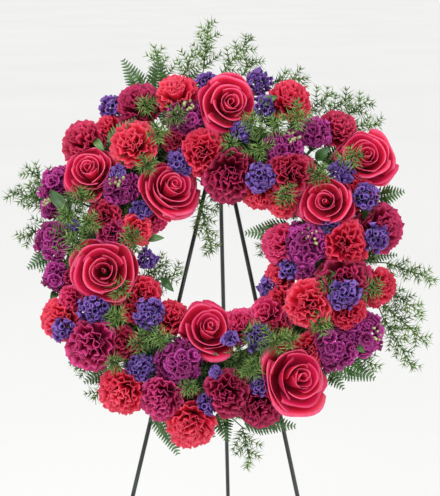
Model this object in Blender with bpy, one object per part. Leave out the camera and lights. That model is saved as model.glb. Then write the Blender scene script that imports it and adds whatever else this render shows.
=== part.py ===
"""Funeral wreath of fresh flowers, hung on a three-legged folding wire easel.

Metres, +Z up. The wreath faces -Y and leans back with the easel's front legs.
Places on the wreath are millimetres in its own frame: u to the right, v up its
face and w out of it, from the middle of the hole at the back of the tray.
"""

import math
import random

import bmesh
import bpy
from mathutils import Matrix, Quaternion, Vector
from mathutils.bvhtree import BVHTree

MM = 0.001

# The easel
LEAN = math.radians(12.0)
PIVOT_HEIGHT = 1050.0
PIVOT_V = 165.0
LEG_SPLAY = 0.2245
BACK_LEG_ANGLE = math.radians(22.0)
ROD = 3.15
EYE_RADIUS = 6.0
EYE_TURN = math.radians(250.0)
EYE_STEPS = 10
EYE_SPACING = 7.0
LEG_SPARE = 40.0
LEG_DEPTH = -0.3 - ROD
PIVOT_DEPTH = LEG_DEPTH - EYE_RADIUS
BOLT_RADIUS = 2.3
BOLT_HALF = 11.6
BOLT_HEAD = 5.0
BOLT_HEAD_THICK = 2.4
BOLT_SIDES = 10
HOOK_WIRE = 2.5
HOOK_HALF = 19.0
HOOK_REACH = 36.0
HOOK_BEND = 7.0
HOOK_ANGLES = (0.0, math.pi / 6, math.pi / 3, math.pi / 2)
GAP = 0.3
LEAST_EDGE = 0.004
TINY = 1e-6
FAR = 1e9

# The foam ring in its tray
RING = 174.0
FOAM_HALF = 32.0
FOAM_BACK = 2.4
FOAM_SHOULDER = 31.0
FOAM_FRONT = 48.0
FOAM_TOP_HALF = 20.0
FOAM_SIDES = 24
TRAY_WALL = 2.0
TRAY_LIP = 8.5
TRAY_BASE = 2.0
TUBE_DEPTH = 25.0
STEM_IN_FOAM = 15.0
STEM_FORK = 9.0
BORE_MOUTH = 4.0
HOLE_SIDES = 5

# How the heads lie on the ring
DOME_HALF = 100.0
DOME_DEPTH = 58.0
HEAD_FLOOR = 19.5
EYE_DISTANCE = 2600.0
LEAST_SHARE = 0.34
FACE_LEAN = 0.75
MOST_ACROSS = 0.92
HEAD_SPREAD = 1.15
FOAM_CLEAR = 2.5
NECK = 0.42
BEND_FROM = 70.0
BEND_OVER = 75.0
STEM = 2.2

# Where a stem may enter the foam, as turns round the ring and tilts round its
# section in degrees, and what crowding costs a place
STEM_TURNS = (0, 3, -3, 6, -6, 9, -9, 12, -12)
STEM_TILTS = (0, 12, -12, 24, -24, 36, -36, 50, -50)
LOWEST_TILT = math.radians(-8)
HIGHEST_TILT = math.radians(188)
TURN_COST = 0.15
TILT_COST = 0.05
LENGTH_COST = 0.01
STEM_APART = 1.4
CROWDED_COST = 400
CROWDED_SLOPE = 60
HEAD_APART = 0.85
HEAD_SLOPE = 12
HEAD_PIERCED = 0.34
PIERCED_COST = 300
ROD_PROBES = 8

# Asparagus sprays and fern fronds
GREEN_STEM = 1.2
GREEN_TRUNK = 1.9
GREEN_FORK = 8.0
FACE_FORK = 6.0
FIRST_BRANCH = 1.1
BRANCH_STEP = 0.43
GREEN_LEVEL = 13.5
FACE_ROOT = 62.0
ARCH = 0.22
TAPER = 0.4
NEEDLE = 13.0
SHORTEST_NEEDLE = 0.72
NEEDLE_SWELL = 0.4
NEEDLE_LEAN = (0.35, 0.75)
NEEDLE_SIDES = 3
STUB = 0.4
WHORL_STEP = 12.5
WHORL_LENGTH = 1.7
WHORL_TURN = -math.pi / NEEDLE_SIDES
LEAFLET_STEP = 8.5
LEAFLET_LEAN = 0.55
LEAFLET_DROOP = 0.12
FROND_WIDTH = 4.0
FROND_SPREAD = 0.34
WIDEST_FROND = 24.0
BLADE = 1.0
CLEAR_START = 1.2
CLEARANCE = 1.1
CLEAR_SHARES = (1.0, 0.7, 0.45)
CLEAR_PROBES = 4
CURVE_STEPS = 12
STEM_SLACK = 0.3
FACE_SLACK = 0.8
FERN_SLACK = 0.6

# Each head is its place u and v, its radius, and how far it stands forward.
ROSES = {
    "rose_top": [(16, 230, 36, 4)],
    "rose_upper_left": [(-188, 126, 33, 4)],
    "rose_inner_left": [(-70, 102, 34, 6)],
    "rose_left": [(-165, -22, 43, 2)],
    "rose_bottom": [(-10, -110, 34, 8)],
    "rose_lower_right": [(118, -178, 41, 8)],
    "rose_right": [(168, 84, 35, 6)],
    "rose_upper_right": [(220, 150, 35, 6)],
}
ROSE_FACES = {
    "rose_top": (0.28, 0.12),
    "rose_upper_left": (-0.10, 0.38),
    "rose_inner_left": (0.45, 0.35),
    "rose_left": (0.05, 0.03),
    "rose_bottom": (0.25, 0.42),
    "rose_lower_right": (0.60, 0.10),
    "rose_right": (-0.15, 0.08),
    "rose_upper_right": (0.15, 0.25),
}
CARNATIONS = {
    "carnations_top_left": [(-60, 243, 27, 4), (-117, 228, 29, 2), (-125, 204, 20, -8)],
    "carnations_upper_left": [(-122, 170, 29, 6), (-162, 195, 18, -8), (-198, 171, 29, 0)],
    "carnations_inner_top": [(-20, 158, 29, 2), (-60, 176, 17, -10), (21, 128, 35, 4)],
    "carnations_top_right": [(107, 234, 27, 0), (177, 195, 24, -4)],
    "carnations_inner_upper_right": [(111, 128, 31, 6), (66, 102, 23, -2), (102, 87, 21, -6)],
    "carnations_right": [(210, 98, 25, -14), (242, 48, 30, -2), (195, 24, 30, 4)],
    "carnations_inner_right": [(105, 21, 27, 0), (98, -27, 20, -8)],
    "carnations_lower_inner_right": [(143, -66, 30, 8), (144, -135, 25, -14)],
    "carnations_hole_lower_right": [
        (98, -59, 21, -8),
        (81, -81, 22, 0),
        (90, -104, 21, -8),
        (40, -102, 24, -2),
    ],
    "carnations_lower_right": [(191, -32, 35, 0), (240, -39, 23, -4), (198, -77, 24, 2)],
    "carnations_bottom_right": [(20, -200, 30, 4), (69, -216, 27, 0)],
    "carnations_bottom_left": [
        (-33, -242, 31, 4),
        (-42, -215, 19, -12),
        (-75, -206, 29, 2),
        (-134, -197, 30, 2),
    ],
    "carnations_lower_left": [(-182, -128, 34, 4), (-135, -128, 21, -10)],
    "carnations_far_left": [(-227, -93, 28, 0), (-213, -63, 18, 0), (-215, -33, 15, -12)],
    "carnations_inner_left": [(-108, -53, 22, -2), (-120, -78, 18, -8), (-66, -90, 22, -4)],
    "carnations_left": [
        (-165, 63, 21, -4),
        (-155, 36, 21, -4),
        (-119, 42, 21, 0),
        (-92, 57, 15, -6),
    ],
}
STOCKS = {
    "stock_top": [(-48, 212, 29, -6)],
    "stock_left": [(-240, 110, 26, -4), (-246, 75, 15, -6), (-242, 26, 27, -2), (-239, -28, 20, -6)],
    "stock_inner_left": [(-143, 104, 26, 0)],
    "stock_bottom": [(-51, -153, 32, 2)],
    "stock_top_right": [(105, 165, 28, 2), (147, 189, 24, 0)],
    "stock_right": [(137, 22, 31, 6), (134, -19, 14, -2)],
    "stock_lower_right": [(219, -108, 30, 0), (180, -131, 31, 0)],
}
STATICES = {
    "statice_top": [(-15, 266, 15, 10), (59, 264, 18, 2), (72, 229, 14, 4)],
    "statice_inner_top": [(40, 190, 14, 12), (69, 122, 18, 26)],
    "statice_upper_left": [(-53, 142, 18, 4), (-111, 72, 13, 2), (-104, -3, 13, -2)],
    "statice_upper_right": [(188, 128, 16, 8), (222, 95, 17, 20)],
    "statice_right": [(240, 33, 17, 24), (174, 50, 13, 8), (196, -52, 19, 30)],
    "statice_hole_right": [(111, -14, 13, 6), (82, -44, 15, 2)],
    "statice_bottom": [(66, -118, 18, 6), (71, -189, 14, 10), (-6, -215, 15, 8)],
    "statice_lower_left": [(-110, -164, 18, 2), (-98, -84, 20, 12)],
    "statice_far_left": [(-180, -77, 20, 10), (-226, -108, 15, 24)],
}
STATICE_AND_FERN = {"statice_and_fern_top_left": [(-158, 228, 16, 2)]}

# Each green grows from its own hole in the foam's wall: the angle round the
# ring, then its sprays and fronds by root, tip and height of the tip.
SPRAY, FROND = "spray", "frond"
GREENS = {
    "greens_top": (
        102,
        1,
        [
            (SPRAY, (-24, 284), (-15, 359), 34),
            (SPRAY, (4, 280), (51, 336), 30),
            (SPRAY, (34, 276), (53, 303), 24),
            (SPRAY, (-57, 262), (-40, 314), 30),
            (SPRAY, (-82, 262), (-99, 321), 26),
            (SPRAY, (76, 266), (134, 273), 30),
            (FROND, (-108, 240), (-144, 298), 30),
            (FROND, (-92, 250), (-90, 303), 40),
            (FROND, (-48, 256), (-30, 286), 22),
        ],
    ),
    "greens_top_right": (
        50,
        1,
        [
            (SPRAY, (134, 222), (172, 252), 28),
            (SPRAY, (160, 218), (197, 246), 20),
            (SPRAY, (183, 210), (226, 242), 34),
            (SPRAY, (199, 200), (244, 204), 24),
        ],
    ),
    "greens_right": (
        0,
        1,
        [
            (FROND, (238, 96), (277, 104), 26),
            (SPRAY, (250, -2), (327, -28), 30),
            (SPRAY, (246, -38), (309, -78), 36),
            (SPRAY, (245, -62), (315, -123), 26),
            (SPRAY, (247, -84), (294, -159), 32),
        ],
    ),
    "greens_lower_right": (
        -41,
        1,
        [
            (FROND, (170, -168), (190, -190), 24),
            (FROND, (186, -152), (235, -174), 22),
            (SPRAY, (206, -140), (245, -158), 16),
        ],
    ),
    "greens_bottom": (
        -91,
        1,
        [
            (FROND, (-88, -222), (-56, -290), 24),
            (FROND, (6, -228), (19, -270), 26),
            (FROND, (44, -238), (118, -247), 26),
            (SPRAY, (40, -248), (54, -304), 22),
        ],
    ),
    "greens_lower_left": (
        -134,
        1,
        [
            (FROND, (-164, -166), (-196, -186), 26),
            (SPRAY, (-176, -160), (-214, -166), 18),
            (SPRAY, (-158, -182), (-184, -212), 20),
        ],
    ),
    "greens_left": (
        165,
        1,
        [
            (SPRAY, (-252, 84), (-315, 100), 30),
            (SPRAY, (-250, 104), (-291, 138), 26),
            (SPRAY, (-248, 50), (-300, 27), 24),
            (SPRAY, (-252, 66), (-284, 110), 46),
            (FROND, (-250, 8), (-284, -15), 22),
        ],
    ),
    "greens_hole_top": (
        109,
        -1,
        [
            (SPRAY, (-30, 96), (-6, 8), 30),
            (SPRAY, (-14, 108), (18, 86), 34),
        ],
    ),
    "greens_hole_right": (
        24,
        -1,
        [
            (FROND, (108, 46), (44, 40), 24),
            (SPRAY, (104, 34), (57, 20), 18),
        ],
    ),
    "greens_hole_left": (
        192,
        -1,
        [
            (SPRAY, (-114, -30), (-74, -4), 26),
            (SPRAY, (-112, -38), (-50, -20), 30),
        ],
    ),
}
FACE_GREENS = {
    "greens_face_bottom": (
        (44, -160),
        [
            (SPRAY, (36, -158), (22, -140), 92),
            (SPRAY, (44, -164), (44, -178), 98),
            (SPRAY, (54, -156), (66, -146), 94),
            (SPRAY, (66, -142), (98, -124), 92),
        ],
    ),
}
FERN_NODE = "statice_and_fern_top_left"
FERN_POINTS = [(-150, 162, 60), (-160, 172, 84), (-146, 192, 96), (-122, 209, 94)]
FERN_WIDTH = 15.0

# Rings of each head from its face to its stem: the angle from the way it
# faces, its height as a share of the radius, and how much its rim is ruffled.
ROSE_RINGS = [
    (13, 0.93, 0.03),
    (23, 0.80, 0.02),
    (38, 0.98, 0.05),
    (49, 0.82, 0.02),
    (68, 1.0, 0.07),
    (79, 0.84, 0.02),
    (98, 0.98, 0.08),
    (142, 0.42, 0.0),
]
CARNATION_RINGS = [
    (21, 1.0, 0.10),
    (45, 0.80, 0.06),
    (74, 1.02, 0.12),
    (100, 0.84, 0.08),
    (144, 0.44, 0.0),
]
SMALL_CARNATION_RINGS = [
    (28, 1.0, 0.10),
    (54, 0.82, 0.06),
    (86, 1.02, 0.11),
    (136, 0.48, 0.0),
]
STOCK_RINGS = [
    (20, 0.98, 0.13),
    (46, 0.98, 0.14),
    (72, 1.0, 0.14),
    (98, 0.96, 0.13),
    (126, 0.72, 0.08),
    (152, 0.42, 0.0),
]
STATICE_RINGS = [
    (36, 1.0, 0.22),
    (82, 1.0, 0.24),
    (132, 0.62, 0.10),
]
KINDS = {
    "rose": (ROSE_RINGS, 12, 0.82),
    "carnation": (CARNATION_RINGS, 8, 0.90),
    "small_carnation": (SMALL_CARNATION_RINGS, 6, 0.88),
    "stock": (STOCK_RINGS, 8, 0.90),
    "statice": (STATICE_RINGS, 6, 1.0),
}
SMALL_CARNATION = 22.5

COLOURS = {
    "rose": (0.58, 0.02, 0.10),
    "carnation": (0.68, 0.02, 0.06),
    "stock": (0.27, 0.01, 0.24),
    "statice": (0.10, 0.04, 0.39),
    "green": (0.07, 0.20, 0.05),
    "enamel": (0.013, 0.022, 0.024),
    "tray": (0.02, 0.10, 0.05),
    "foam": (0.05, 0.16, 0.08),
    "steel": (0.55, 0.55, 0.55),
}
SMOOTH = ("steel", "enamel", "tray")
LEGS = ("easel_leg_left", "easel_leg_right", "easel_leg_back")
SHARP = math.radians(40)


class Head:
    """One bloom or cluster: where it sits, which way it faces, and its stem."""

    def __init__(self, node, kind, row, face=None):
        u, v, radius, lift = row
        reach = math.hypot(u, v)
        across = (reach - RING) / DOME_HALF
        rise = math.sqrt(1.0 - min(abs(across), MOST_ACROSS) ** 2)
        w = TUBE_DEPTH + DOME_DEPTH * rise + lift
        self.node = node
        self.kind = kind
        self.radius = radius
        self.centre = in_view(u, v, w)
        lean = max(-1.0, min(1.0, across)) * FACE_LEAN
        self.faces = Vector((u / reach * lean, v / reach * lean, 1.0)).normalized()
        if face:
            self.faces = Vector((face[0], face[1], 1.0)).normalized()


def in_view(u, v, w):
    """A point seen at u and v on the wreath's back plane, but w in front of it."""
    nearer = 1.0 - w / EYE_DISTANCE
    return Vector((u * nearer, v * nearer, w))


def clear_scene():
    for obj in list(bpy.data.objects):
        bpy.data.objects.remove(obj, do_unlink=True)


def new_collection(name, hidden=False):
    group = bpy.data.collections.new(name)
    group.hide_render = hidden
    bpy.context.scene.collection.children.link(group)
    return group


def finish(name, colour, roughness=0.6, metallic=0.0):
    material = bpy.data.materials.new(name)
    material.use_nodes = True
    shader = material.node_tree.nodes["Principled BSDF"]
    shader.inputs["Base Color"].default_value = (*colour, 1.0)
    shader.inputs["Roughness"].default_value = roughness
    shader.inputs["Metallic"].default_value = metallic
    return material


def face_outwards(bm):
    bmesh.ops.recalc_face_normals(bm, faces=bm.faces)
    if bm.calc_volume(signed=True) < 0:
        bmesh.ops.reverse_faces(bm, faces=bm.faces)


def new_object(name, bm, group):
    face_outwards(bm)
    mesh = bpy.data.meshes.new(name)
    bm.to_mesh(mesh)
    bm.free()
    obj = bpy.data.objects.new(name, mesh)
    group.objects.link(obj)
    return obj


def replace_mesh(obj):
    """Puts what the object's modifiers make in its mesh."""
    graph = bpy.context.evaluated_depsgraph_get()
    made = bpy.data.meshes.new_from_object(obj.evaluated_get(graph))
    obj.modifiers.clear()
    obj.data = made
    made.name = obj.name


def combine(obj, others, operation, cutters):
    """One Boolean of the object with all the others, which are then removed."""
    for other in others:
        for group in list(other.users_collection):
            group.objects.unlink(other)
        cutters.objects.link(other)
        other.hide_render = True
        other.display_type = "WIRE"
    boolean = obj.modifiers.new(operation.lower(), "BOOLEAN")
    boolean.operation = operation
    boolean.operand_type = "COLLECTION"
    boolean.collection = cutters
    boolean.solver = "MANIFOLD"
    bpy.context.view_layer.update()
    replace_mesh(obj)
    for other in others:
        bpy.data.objects.remove(other, do_unlink=True)
    keep_largest(obj)


def keep_largest(obj):
    """Fills the hollows that a union seals, and drops any loose scrap."""
    bm = bmesh.new()
    bm.from_mesh(obj.data)
    bodies = []
    left = set(bm.verts)
    while left:
        body = set()
        edge_of_body = [left.pop()]
        while edge_of_body:
            vert = edge_of_body.pop()
            body.add(vert)
            for edge in vert.link_edges:
                other = edge.other_vert(vert)
                if other in left:
                    left.remove(other)
                    edge_of_body.append(other)
        bodies.append(body)
    bodies.sort(key=len)
    scraps = [vert for body in bodies[:-1] for vert in body]
    bmesh.ops.delete(bm, geom=scraps, context="VERTS")
    bmesh.ops.dissolve_degenerate(bm, dist=LEAST_EDGE, edges=bm.edges)
    bmesh.ops.triangulate(bm, faces=bm.faces)
    bm.to_mesh(obj.data)
    bm.free()


def ring_of(bm, centre, across, up, radius, sides, turn=0.0):
    return [
        bm.verts.new(
            centre
            + across * (radius * math.cos(turn + math.tau * step / sides))
            + up * (radius * math.sin(turn + math.tau * step / sides))
        )
        for step in range(sides)
    ]


def bridge(bm, first, second):
    count = len(first)
    for step in range(count):
        after = (step + 1) % count
        bm.faces.new((first[step], first[after], second[after]))
        bm.faces.new((first[step], second[after], second[step]))


def bridge_to_half(bm, first, second):
    """Joins a ring to one with half as many corners."""
    for step, corner in enumerate(second):
        before, middle, after = (first[(2 * step + more) % len(first)] for more in (0, 1, 2))
        ahead = second[(step + 1) % len(second)]
        bm.faces.new((before, middle, corner))
        bm.faces.new((middle, ahead, corner))
        bm.faces.new((middle, after, ahead))


def ways_across(direction):
    across = direction.orthogonal().normalized()
    return across, direction.cross(across).normalized()


def prism(path, radius, sides=HOLE_SIDES):
    """A closed rod with flat ends along a straight or bent path."""
    bm = bmesh.new()
    rings = []
    across = None
    for place, point in enumerate(path):
        before = path[max(place - 1, 0)]
        after = path[min(place + 1, len(path) - 1)]
        along = (after - before).normalized()
        if across is None:
            across, _ = ways_across(along)
        across = (across - along * across.dot(along)).normalized()
        rings.append(ring_of(bm, point, across, along.cross(across), radius, sides))
    for first, second in zip(rings, rings[1:]):
        bridge(bm, first, second)
    bm.faces.new(rings[0])
    bm.faces.new(rings[-1])
    bmesh.ops.triangulate(bm, faces=bm.faces)
    return bm


def screw_ring(name, profile, steps, group):
    """A closed profile of points (from the ring's axis, w) turned all the way round."""
    bm = bmesh.new()
    verts = [bm.verts.new((reach, 0.0, depth)) for reach, depth in profile]
    for first, second in zip(verts, verts[1:] + verts[:1]):
        bm.edges.new((first, second))
    bmesh.ops.spin(
        bm,
        geom=list(bm.verts) + list(bm.edges),
        cent=(0, 0, 0),
        axis=(0, 0, 1),
        angle=math.tau,
        steps=steps,
        use_merge=True,
    )
    bmesh.ops.remove_doubles(bm, verts=bm.verts, dist=0.001)
    return new_object(name, bm, group)


def foam_section():
    return [
        (-FOAM_HALF, FOAM_BACK),
        (FOAM_HALF, FOAM_BACK),
        (FOAM_HALF, FOAM_SHOULDER),
        (FOAM_TOP_HALF, FOAM_FRONT),
        (-FOAM_TOP_HALF, FOAM_FRONT),
        (-FOAM_HALF, FOAM_SHOULDER),
    ]


def wall_distance(direction):
    """How far the foam's surface lies from the middle of its section, one way."""
    points = foam_section()
    nearest = FAR
    for (a_across, a_depth), (b_across, b_depth) in zip(points, points[1:] + points[:1]):
        side = Vector((b_across - a_across, b_depth - a_depth))
        start = Vector((a_across, a_depth - TUBE_DEPTH))
        cross = direction.x * side.y - direction.y * side.x
        if abs(cross) < TINY:
            continue
        far = (start.x * side.y - start.y * side.x) / cross
        share = (start.x * direction.y - start.y * direction.x) / cross
        if far > 0 and -TINY <= share <= 1 + TINY:
            nearest = min(nearest, far)
    return nearest


def foam_support(direction):
    """The farthest reach of the foam's section one way from its middle."""
    return max(
        across * direction.x + (depth - TUBE_DEPTH) * direction.y
        for across, depth in foam_section()
    )


def section_point(angle, across, depth):
    reach = RING + across
    return Vector((reach * math.cos(angle), reach * math.sin(angle), depth))


def closest_on(start, end, point):
    along = end - start
    length = along.length_squared
    share = max(0.0, min(1.0, (point - start).dot(along) / length)) if length else 0.0
    return start + along * share


def rods_apart(first, second):
    """The least distance between two straight rods' axes, sampled along them."""
    best = FAR
    for step in range(ROD_PROBES + 1):
        on_first = first[0].lerp(first[1], step / ROD_PROBES)
        near = closest_on(second[0], second[1], on_first)
        back = closest_on(first[0], first[1], near)
        best = min(best, (back - near).length)
    return best


def segments_of(node_heads, fork, inner):
    rods = [(fork, inner)]
    rods += [(head.centre, fork) for head in node_heads]
    return rods


def stem_places(members):
    """Each place in the foam near a bunch's middle: fork, inner end and cost."""
    middle = sum((head.centre for head in members), Vector()) / len(members)
    round_angle = math.atan2(middle.y, middle.x)
    across = math.hypot(middle.x, middle.y) - RING
    section_angle = math.atan2(middle.z - TUBE_DEPTH, across)
    for turn in STEM_TURNS:
        for tip in STEM_TILTS:
            angle = round_angle + math.radians(turn)
            tilt = section_angle + math.radians(tip)
            if not LOWEST_TILT < tilt < HIGHEST_TILT:
                continue
            flat = Vector((math.cos(tilt), math.sin(tilt)))
            wall = wall_distance(flat)
            fork_at = flat * (wall + STEM_FORK)
            inner_at = flat * (wall - STEM_IN_FOAM)
            fork = section_point(angle, fork_at.x, TUBE_DEPTH + fork_at.y)
            inner = section_point(angle, inner_at.x, TUBE_DEPTH + inner_at.y)
            yield fork, inner, abs(turn) * TURN_COST + abs(tip) * TILT_COST


def crowding(node, stems, heads, rods):
    """What a bunch's stems cost for passing near other stems and heads."""
    cost = 0.0
    for rod in stems:
        for _, other, radius in rods:
            apart = rods_apart(rod, other) - STEM - radius
            if apart < STEM_APART:
                cost += CROWDED_COST + CROWDED_SLOPE * (STEM_APART - apart)
        for head in heads:
            if head.node == node:
                continue
            near = closest_on(rod[0], rod[1], head.centre)
            free = (near - head.centre).length / head.radius
            if free < HEAD_APART:
                cost += HEAD_SLOPE * (HEAD_APART - free)
            if free < HEAD_PIERCED:
                cost += PIERCED_COST
        cost += LENGTH_COST * (rod[0] - rod[1]).length
    return cost


def plant_stems(nodes, heads, rods):
    """Finds each node's hole in the foam, clear of the other stems."""
    holes = {}
    for node, members in nodes.items():
        least = FAR
        for fork, inner, cost in stem_places(members):
            stems = segments_of(members, fork, inner)
            cost += crowding(node, stems, heads, rods)
            if cost < least:
                least = cost
                holes[node] = (fork, inner, STEM)
        fork, inner, _ = holes[node]
        for rod in segments_of(members, fork, inner):
            rods.append((node, rod, STEM))
    return holes


def cell_of(head, heads, rods):
    """Flat limits that keep a head clear of its neighbours and their stems."""
    limits = []
    for other in heads:
        if other.node == head.node:
            continue
        toward = other.centre - head.centre
        apart = toward.length
        if apart > HEAD_SPREAD * (head.radius + other.radius):
            continue
        least = LEAST_SHARE * head.radius
        most = apart - LEAST_SHARE * other.radius
        share = (apart**2 + head.radius**2 - other.radius**2) / (2 * apart)
        if most < least:
            share = apart * head.radius / (head.radius + other.radius)
        else:
            share = min(max(share, least), most)
        limits.append((toward.normalized(), share - GAP / 2))
    for node, (start, end), radius in rods:
        if node == head.node:
            continue
        toward = closest_on(start, end, head.centre) - head.centre
        if toward.length < head.radius * HEAD_SPREAD + radius:
            limits.append((toward.normalized(), max(toward.length - radius - GAP, 1.0)))
    limits.append((Vector((0, 0, -1)), head.centre.z - HEAD_FLOOR))
    reach = math.hypot(head.centre.x, head.centre.y)
    flat = Vector((reach - RING, head.centre.z - TUBE_DEPTH))
    outward = flat.normalized()
    room = flat.length - foam_support(outward) - FOAM_CLEAR
    radial = Vector((head.centre.x / reach, head.centre.y / reach, 0.0))
    inward = -(radial * outward.x + Vector((0, 0, 1)) * outward.y)
    limits.append((inward, room))
    return limits


def limited(direction, length, limits):
    """The length one way that the flat limits leave."""
    for normal, room in limits:
        lean = direction.dot(normal)
        if lean > TINY:
            length = min(length, room / lean)
    return length


def head_mesh(head, limits, route, seed):
    """A bloom raised ring by ring from its centre, its last rings drawn into a stem."""
    draw = random.Random(seed)
    rings, sides, crown = KINDS[head.kind]
    stem_way = (route[0] - head.centre).normalized()
    turn_of_face = Vector((0, 0, 1)).rotation_difference(head.faces)
    bend = head.faces.rotation_difference(-stem_way)
    bm = bmesh.new()
    top = head.faces * limited(head.faces, head.radius * crown, limits)
    tip = bm.verts.new(head.centre + top)
    loops = []
    start = draw.uniform(0.0, math.tau)
    for place, (angle, share, ruffle) in enumerate(rings):
        polar = math.radians(angle)
        eased = max(0.0, min(1.0, (angle - BEND_FROM) / BEND_OVER))
        turned = Quaternion().slerp(bend, eased * eased * (3 - 2 * eased)) @ turn_of_face
        loop = []
        for step in range(sides):
            around = start + math.tau * (step + 0.5 * (place % 2)) / sides
            flat = Vector((math.cos(around), math.sin(around))) * math.sin(polar)
            direction = turned @ Vector((*flat, math.cos(polar)))
            wave = ruffle * (1 if step % 2 else -1) + ruffle * draw.uniform(-0.5, 0.5)
            length = head.radius * (share + wave)
            loop.append(head.centre + direction * limited(direction, length, limits))
        loops.append([bm.verts.new(point) for point in loop])
    points = [head.centre + stem_way * (head.radius * NECK), *route]
    for place, point in enumerate(points):
        before = points[place - 1] if place else head.centre
        after = points[min(place + 1, len(points) - 1)]
        along = (after - before).normalized()
        every = 1 if place else 2
        loops.append(even_ring(bm, loops[-1][::every], point, along, STEM))
    for first, second in zip(loops, loops[1:]):
        if len(first) == len(second):
            bridge(bm, first, second)
        else:
            bridge_to_half(bm, first, second)
    for step in range(sides):
        bm.faces.new((tip, loops[0][(step + 1) % sides], loops[0][step]))
    bm.faces.new(loops[-1])
    bmesh.ops.triangulate(bm, faces=bm.faces)
    return bm


def even_ring(bm, previous, point, along, radius):
    """A round ring whose corners follow on from the ring before it."""
    middle = sum((vert.co for vert in previous), Vector()) / len(previous)
    first = previous[0].co - middle
    across = (first - along * first.dot(along)).normalized()
    up = along.cross(across)
    if (previous[1].co - middle).dot(up) < 0:
        up = -up
    return ring_of(bm, point, across, up, radius, len(previous))


def smooth_path(points, step):
    """Evenly spaced points on a smooth curve through a few."""
    ends = [points[0] * 2 - points[1], *points, points[-1] * 2 - points[-2]]
    fine = []
    for place in range(1, len(ends) - 2):
        before, first, second, after = ends[place - 1 : place + 3]
        for share in (part / CURVE_STEPS for part in range(CURVE_STEPS)):
            fine.append(
                0.5
                * (
                    2 * first
                    + (second - before) * share
                    + (2 * before - 5 * first + 4 * second - after) * share**2
                    + (3 * first - before - 3 * second + after) * share**3
                )
            )
    fine.append(points[-1].copy())
    lengths = [0.0]
    for first, second in zip(fine, fine[1:]):
        lengths.append(lengths[-1] + (second - first).length)
    count = max(2, round(lengths[-1] / step))
    even = []
    place = 0
    for part in range(count + 1):
        want = lengths[-1] * part / count
        while place < len(fine) - 2 and lengths[place + 1] < want:
            place += 1
        span = lengths[place + 1] - lengths[place]
        even.append(fine[place].lerp(fine[place + 1], (want - lengths[place]) / span))
    return even


def is_clear(trees, start, end):
    """Whether a needle or leaflet has room, away from all that is built."""
    for step in range(1, CLEAR_PROBES + 1):
        point = start.lerp(end, step / CLEAR_PROBES)
        for tree in trees:
            if tree.find_nearest(point, CLEARANCE)[0] is not None:
                return False
    way = end - start
    for tree in trees:
        if tree.ray_cast(start, way.normalized(), way.length + CLEARANCE)[0] is not None:
            return False
    return True


def longest_clear(trees, start, way, length):
    for share in CLEAR_SHARES:
        if is_clear(trees, start, start + way * (length * share)):
            return length * share
    return 0.0


def ways_along(points):
    """The way a path runs at each of its points, halfway through each bend."""
    spans = [(after - before).normalized() for before, after in zip(points, points[1:])]
    bends = zip([spans[0], *spans], [*spans, spans[-1]])
    return [(before + after).normalized() for before, after in bends]


def quad_between(first, second, step):
    after = (step + 1) % len(first)
    return first[step], first[after], second[after], second[step]


def middle_of(verts):
    return sum((vert.co for vert in verts), Vector()) / len(verts)


def raise_point(bm, corners, tip):
    """A point standing on a face of four corners."""
    apex = bm.verts.new(tip)
    for corner in range(len(corners)):
        bm.faces.new((corners[corner], corners[(corner + 1) % len(corners)], apex))


def spray_mesh(start, path, trees, seed):
    """A slim green core with whorls of three needles raised from it."""
    draw = random.Random(seed)
    points = [start, *path]
    bm = bmesh.new()
    rings = []
    whorls = {}
    across, _ = ways_across((path[0] - start).normalized())
    for place, (point, along) in enumerate(zip(points, ways_along(points))):
        across = (across - along * across.dot(along)).normalized()
        up = along.cross(across)
        share = max(0, place - 1) / (len(path) - 1)
        radius = GREEN_STEM * (1.0 - TAPER * share)
        turn = WHORL_TURN * max(0, place - 1)
        rings.append(ring_of(bm, point, across, up, radius, NEEDLE_SIDES, turn))
        if 1 < place < len(path):
            whorls[len(rings) - 1] = (along, share)
            ahead = point + along * WHORL_LENGTH
            rings.append(ring_of(bm, ahead, across, up, radius, NEEDLE_SIDES, turn))
    for place, (first, second) in enumerate(zip(rings, rings[1:])):
        if place not in whorls:
            bridge(bm, first, second)
            continue
        along, share = whorls[place]
        middle = middle_of(first)
        for step in range(NEEDLE_SIDES):
            corners = quad_between(first, second, step)
            foot = middle_of(corners)
            out = foot - middle
            out = (out - along * out.dot(along)).normalized()
            way = (out + along * draw.uniform(*NEEDLE_LEAN)).normalized()
            swell = math.sin(math.pi * (0.15 + 0.8 * share))
            length = NEEDLE * (SHORTEST_NEEDLE + NEEDLE_SWELL * swell)
            length = longest_clear(trees, foot + way * CLEAR_START, way, length)
            raise_point(bm, corners, foot + way * max(length, STUB))
    bm.faces.new(rings[0])
    bm.faces.new(rings[-1])
    bmesh.ops.triangulate(bm, faces=bm.faces)
    return bm


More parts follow.
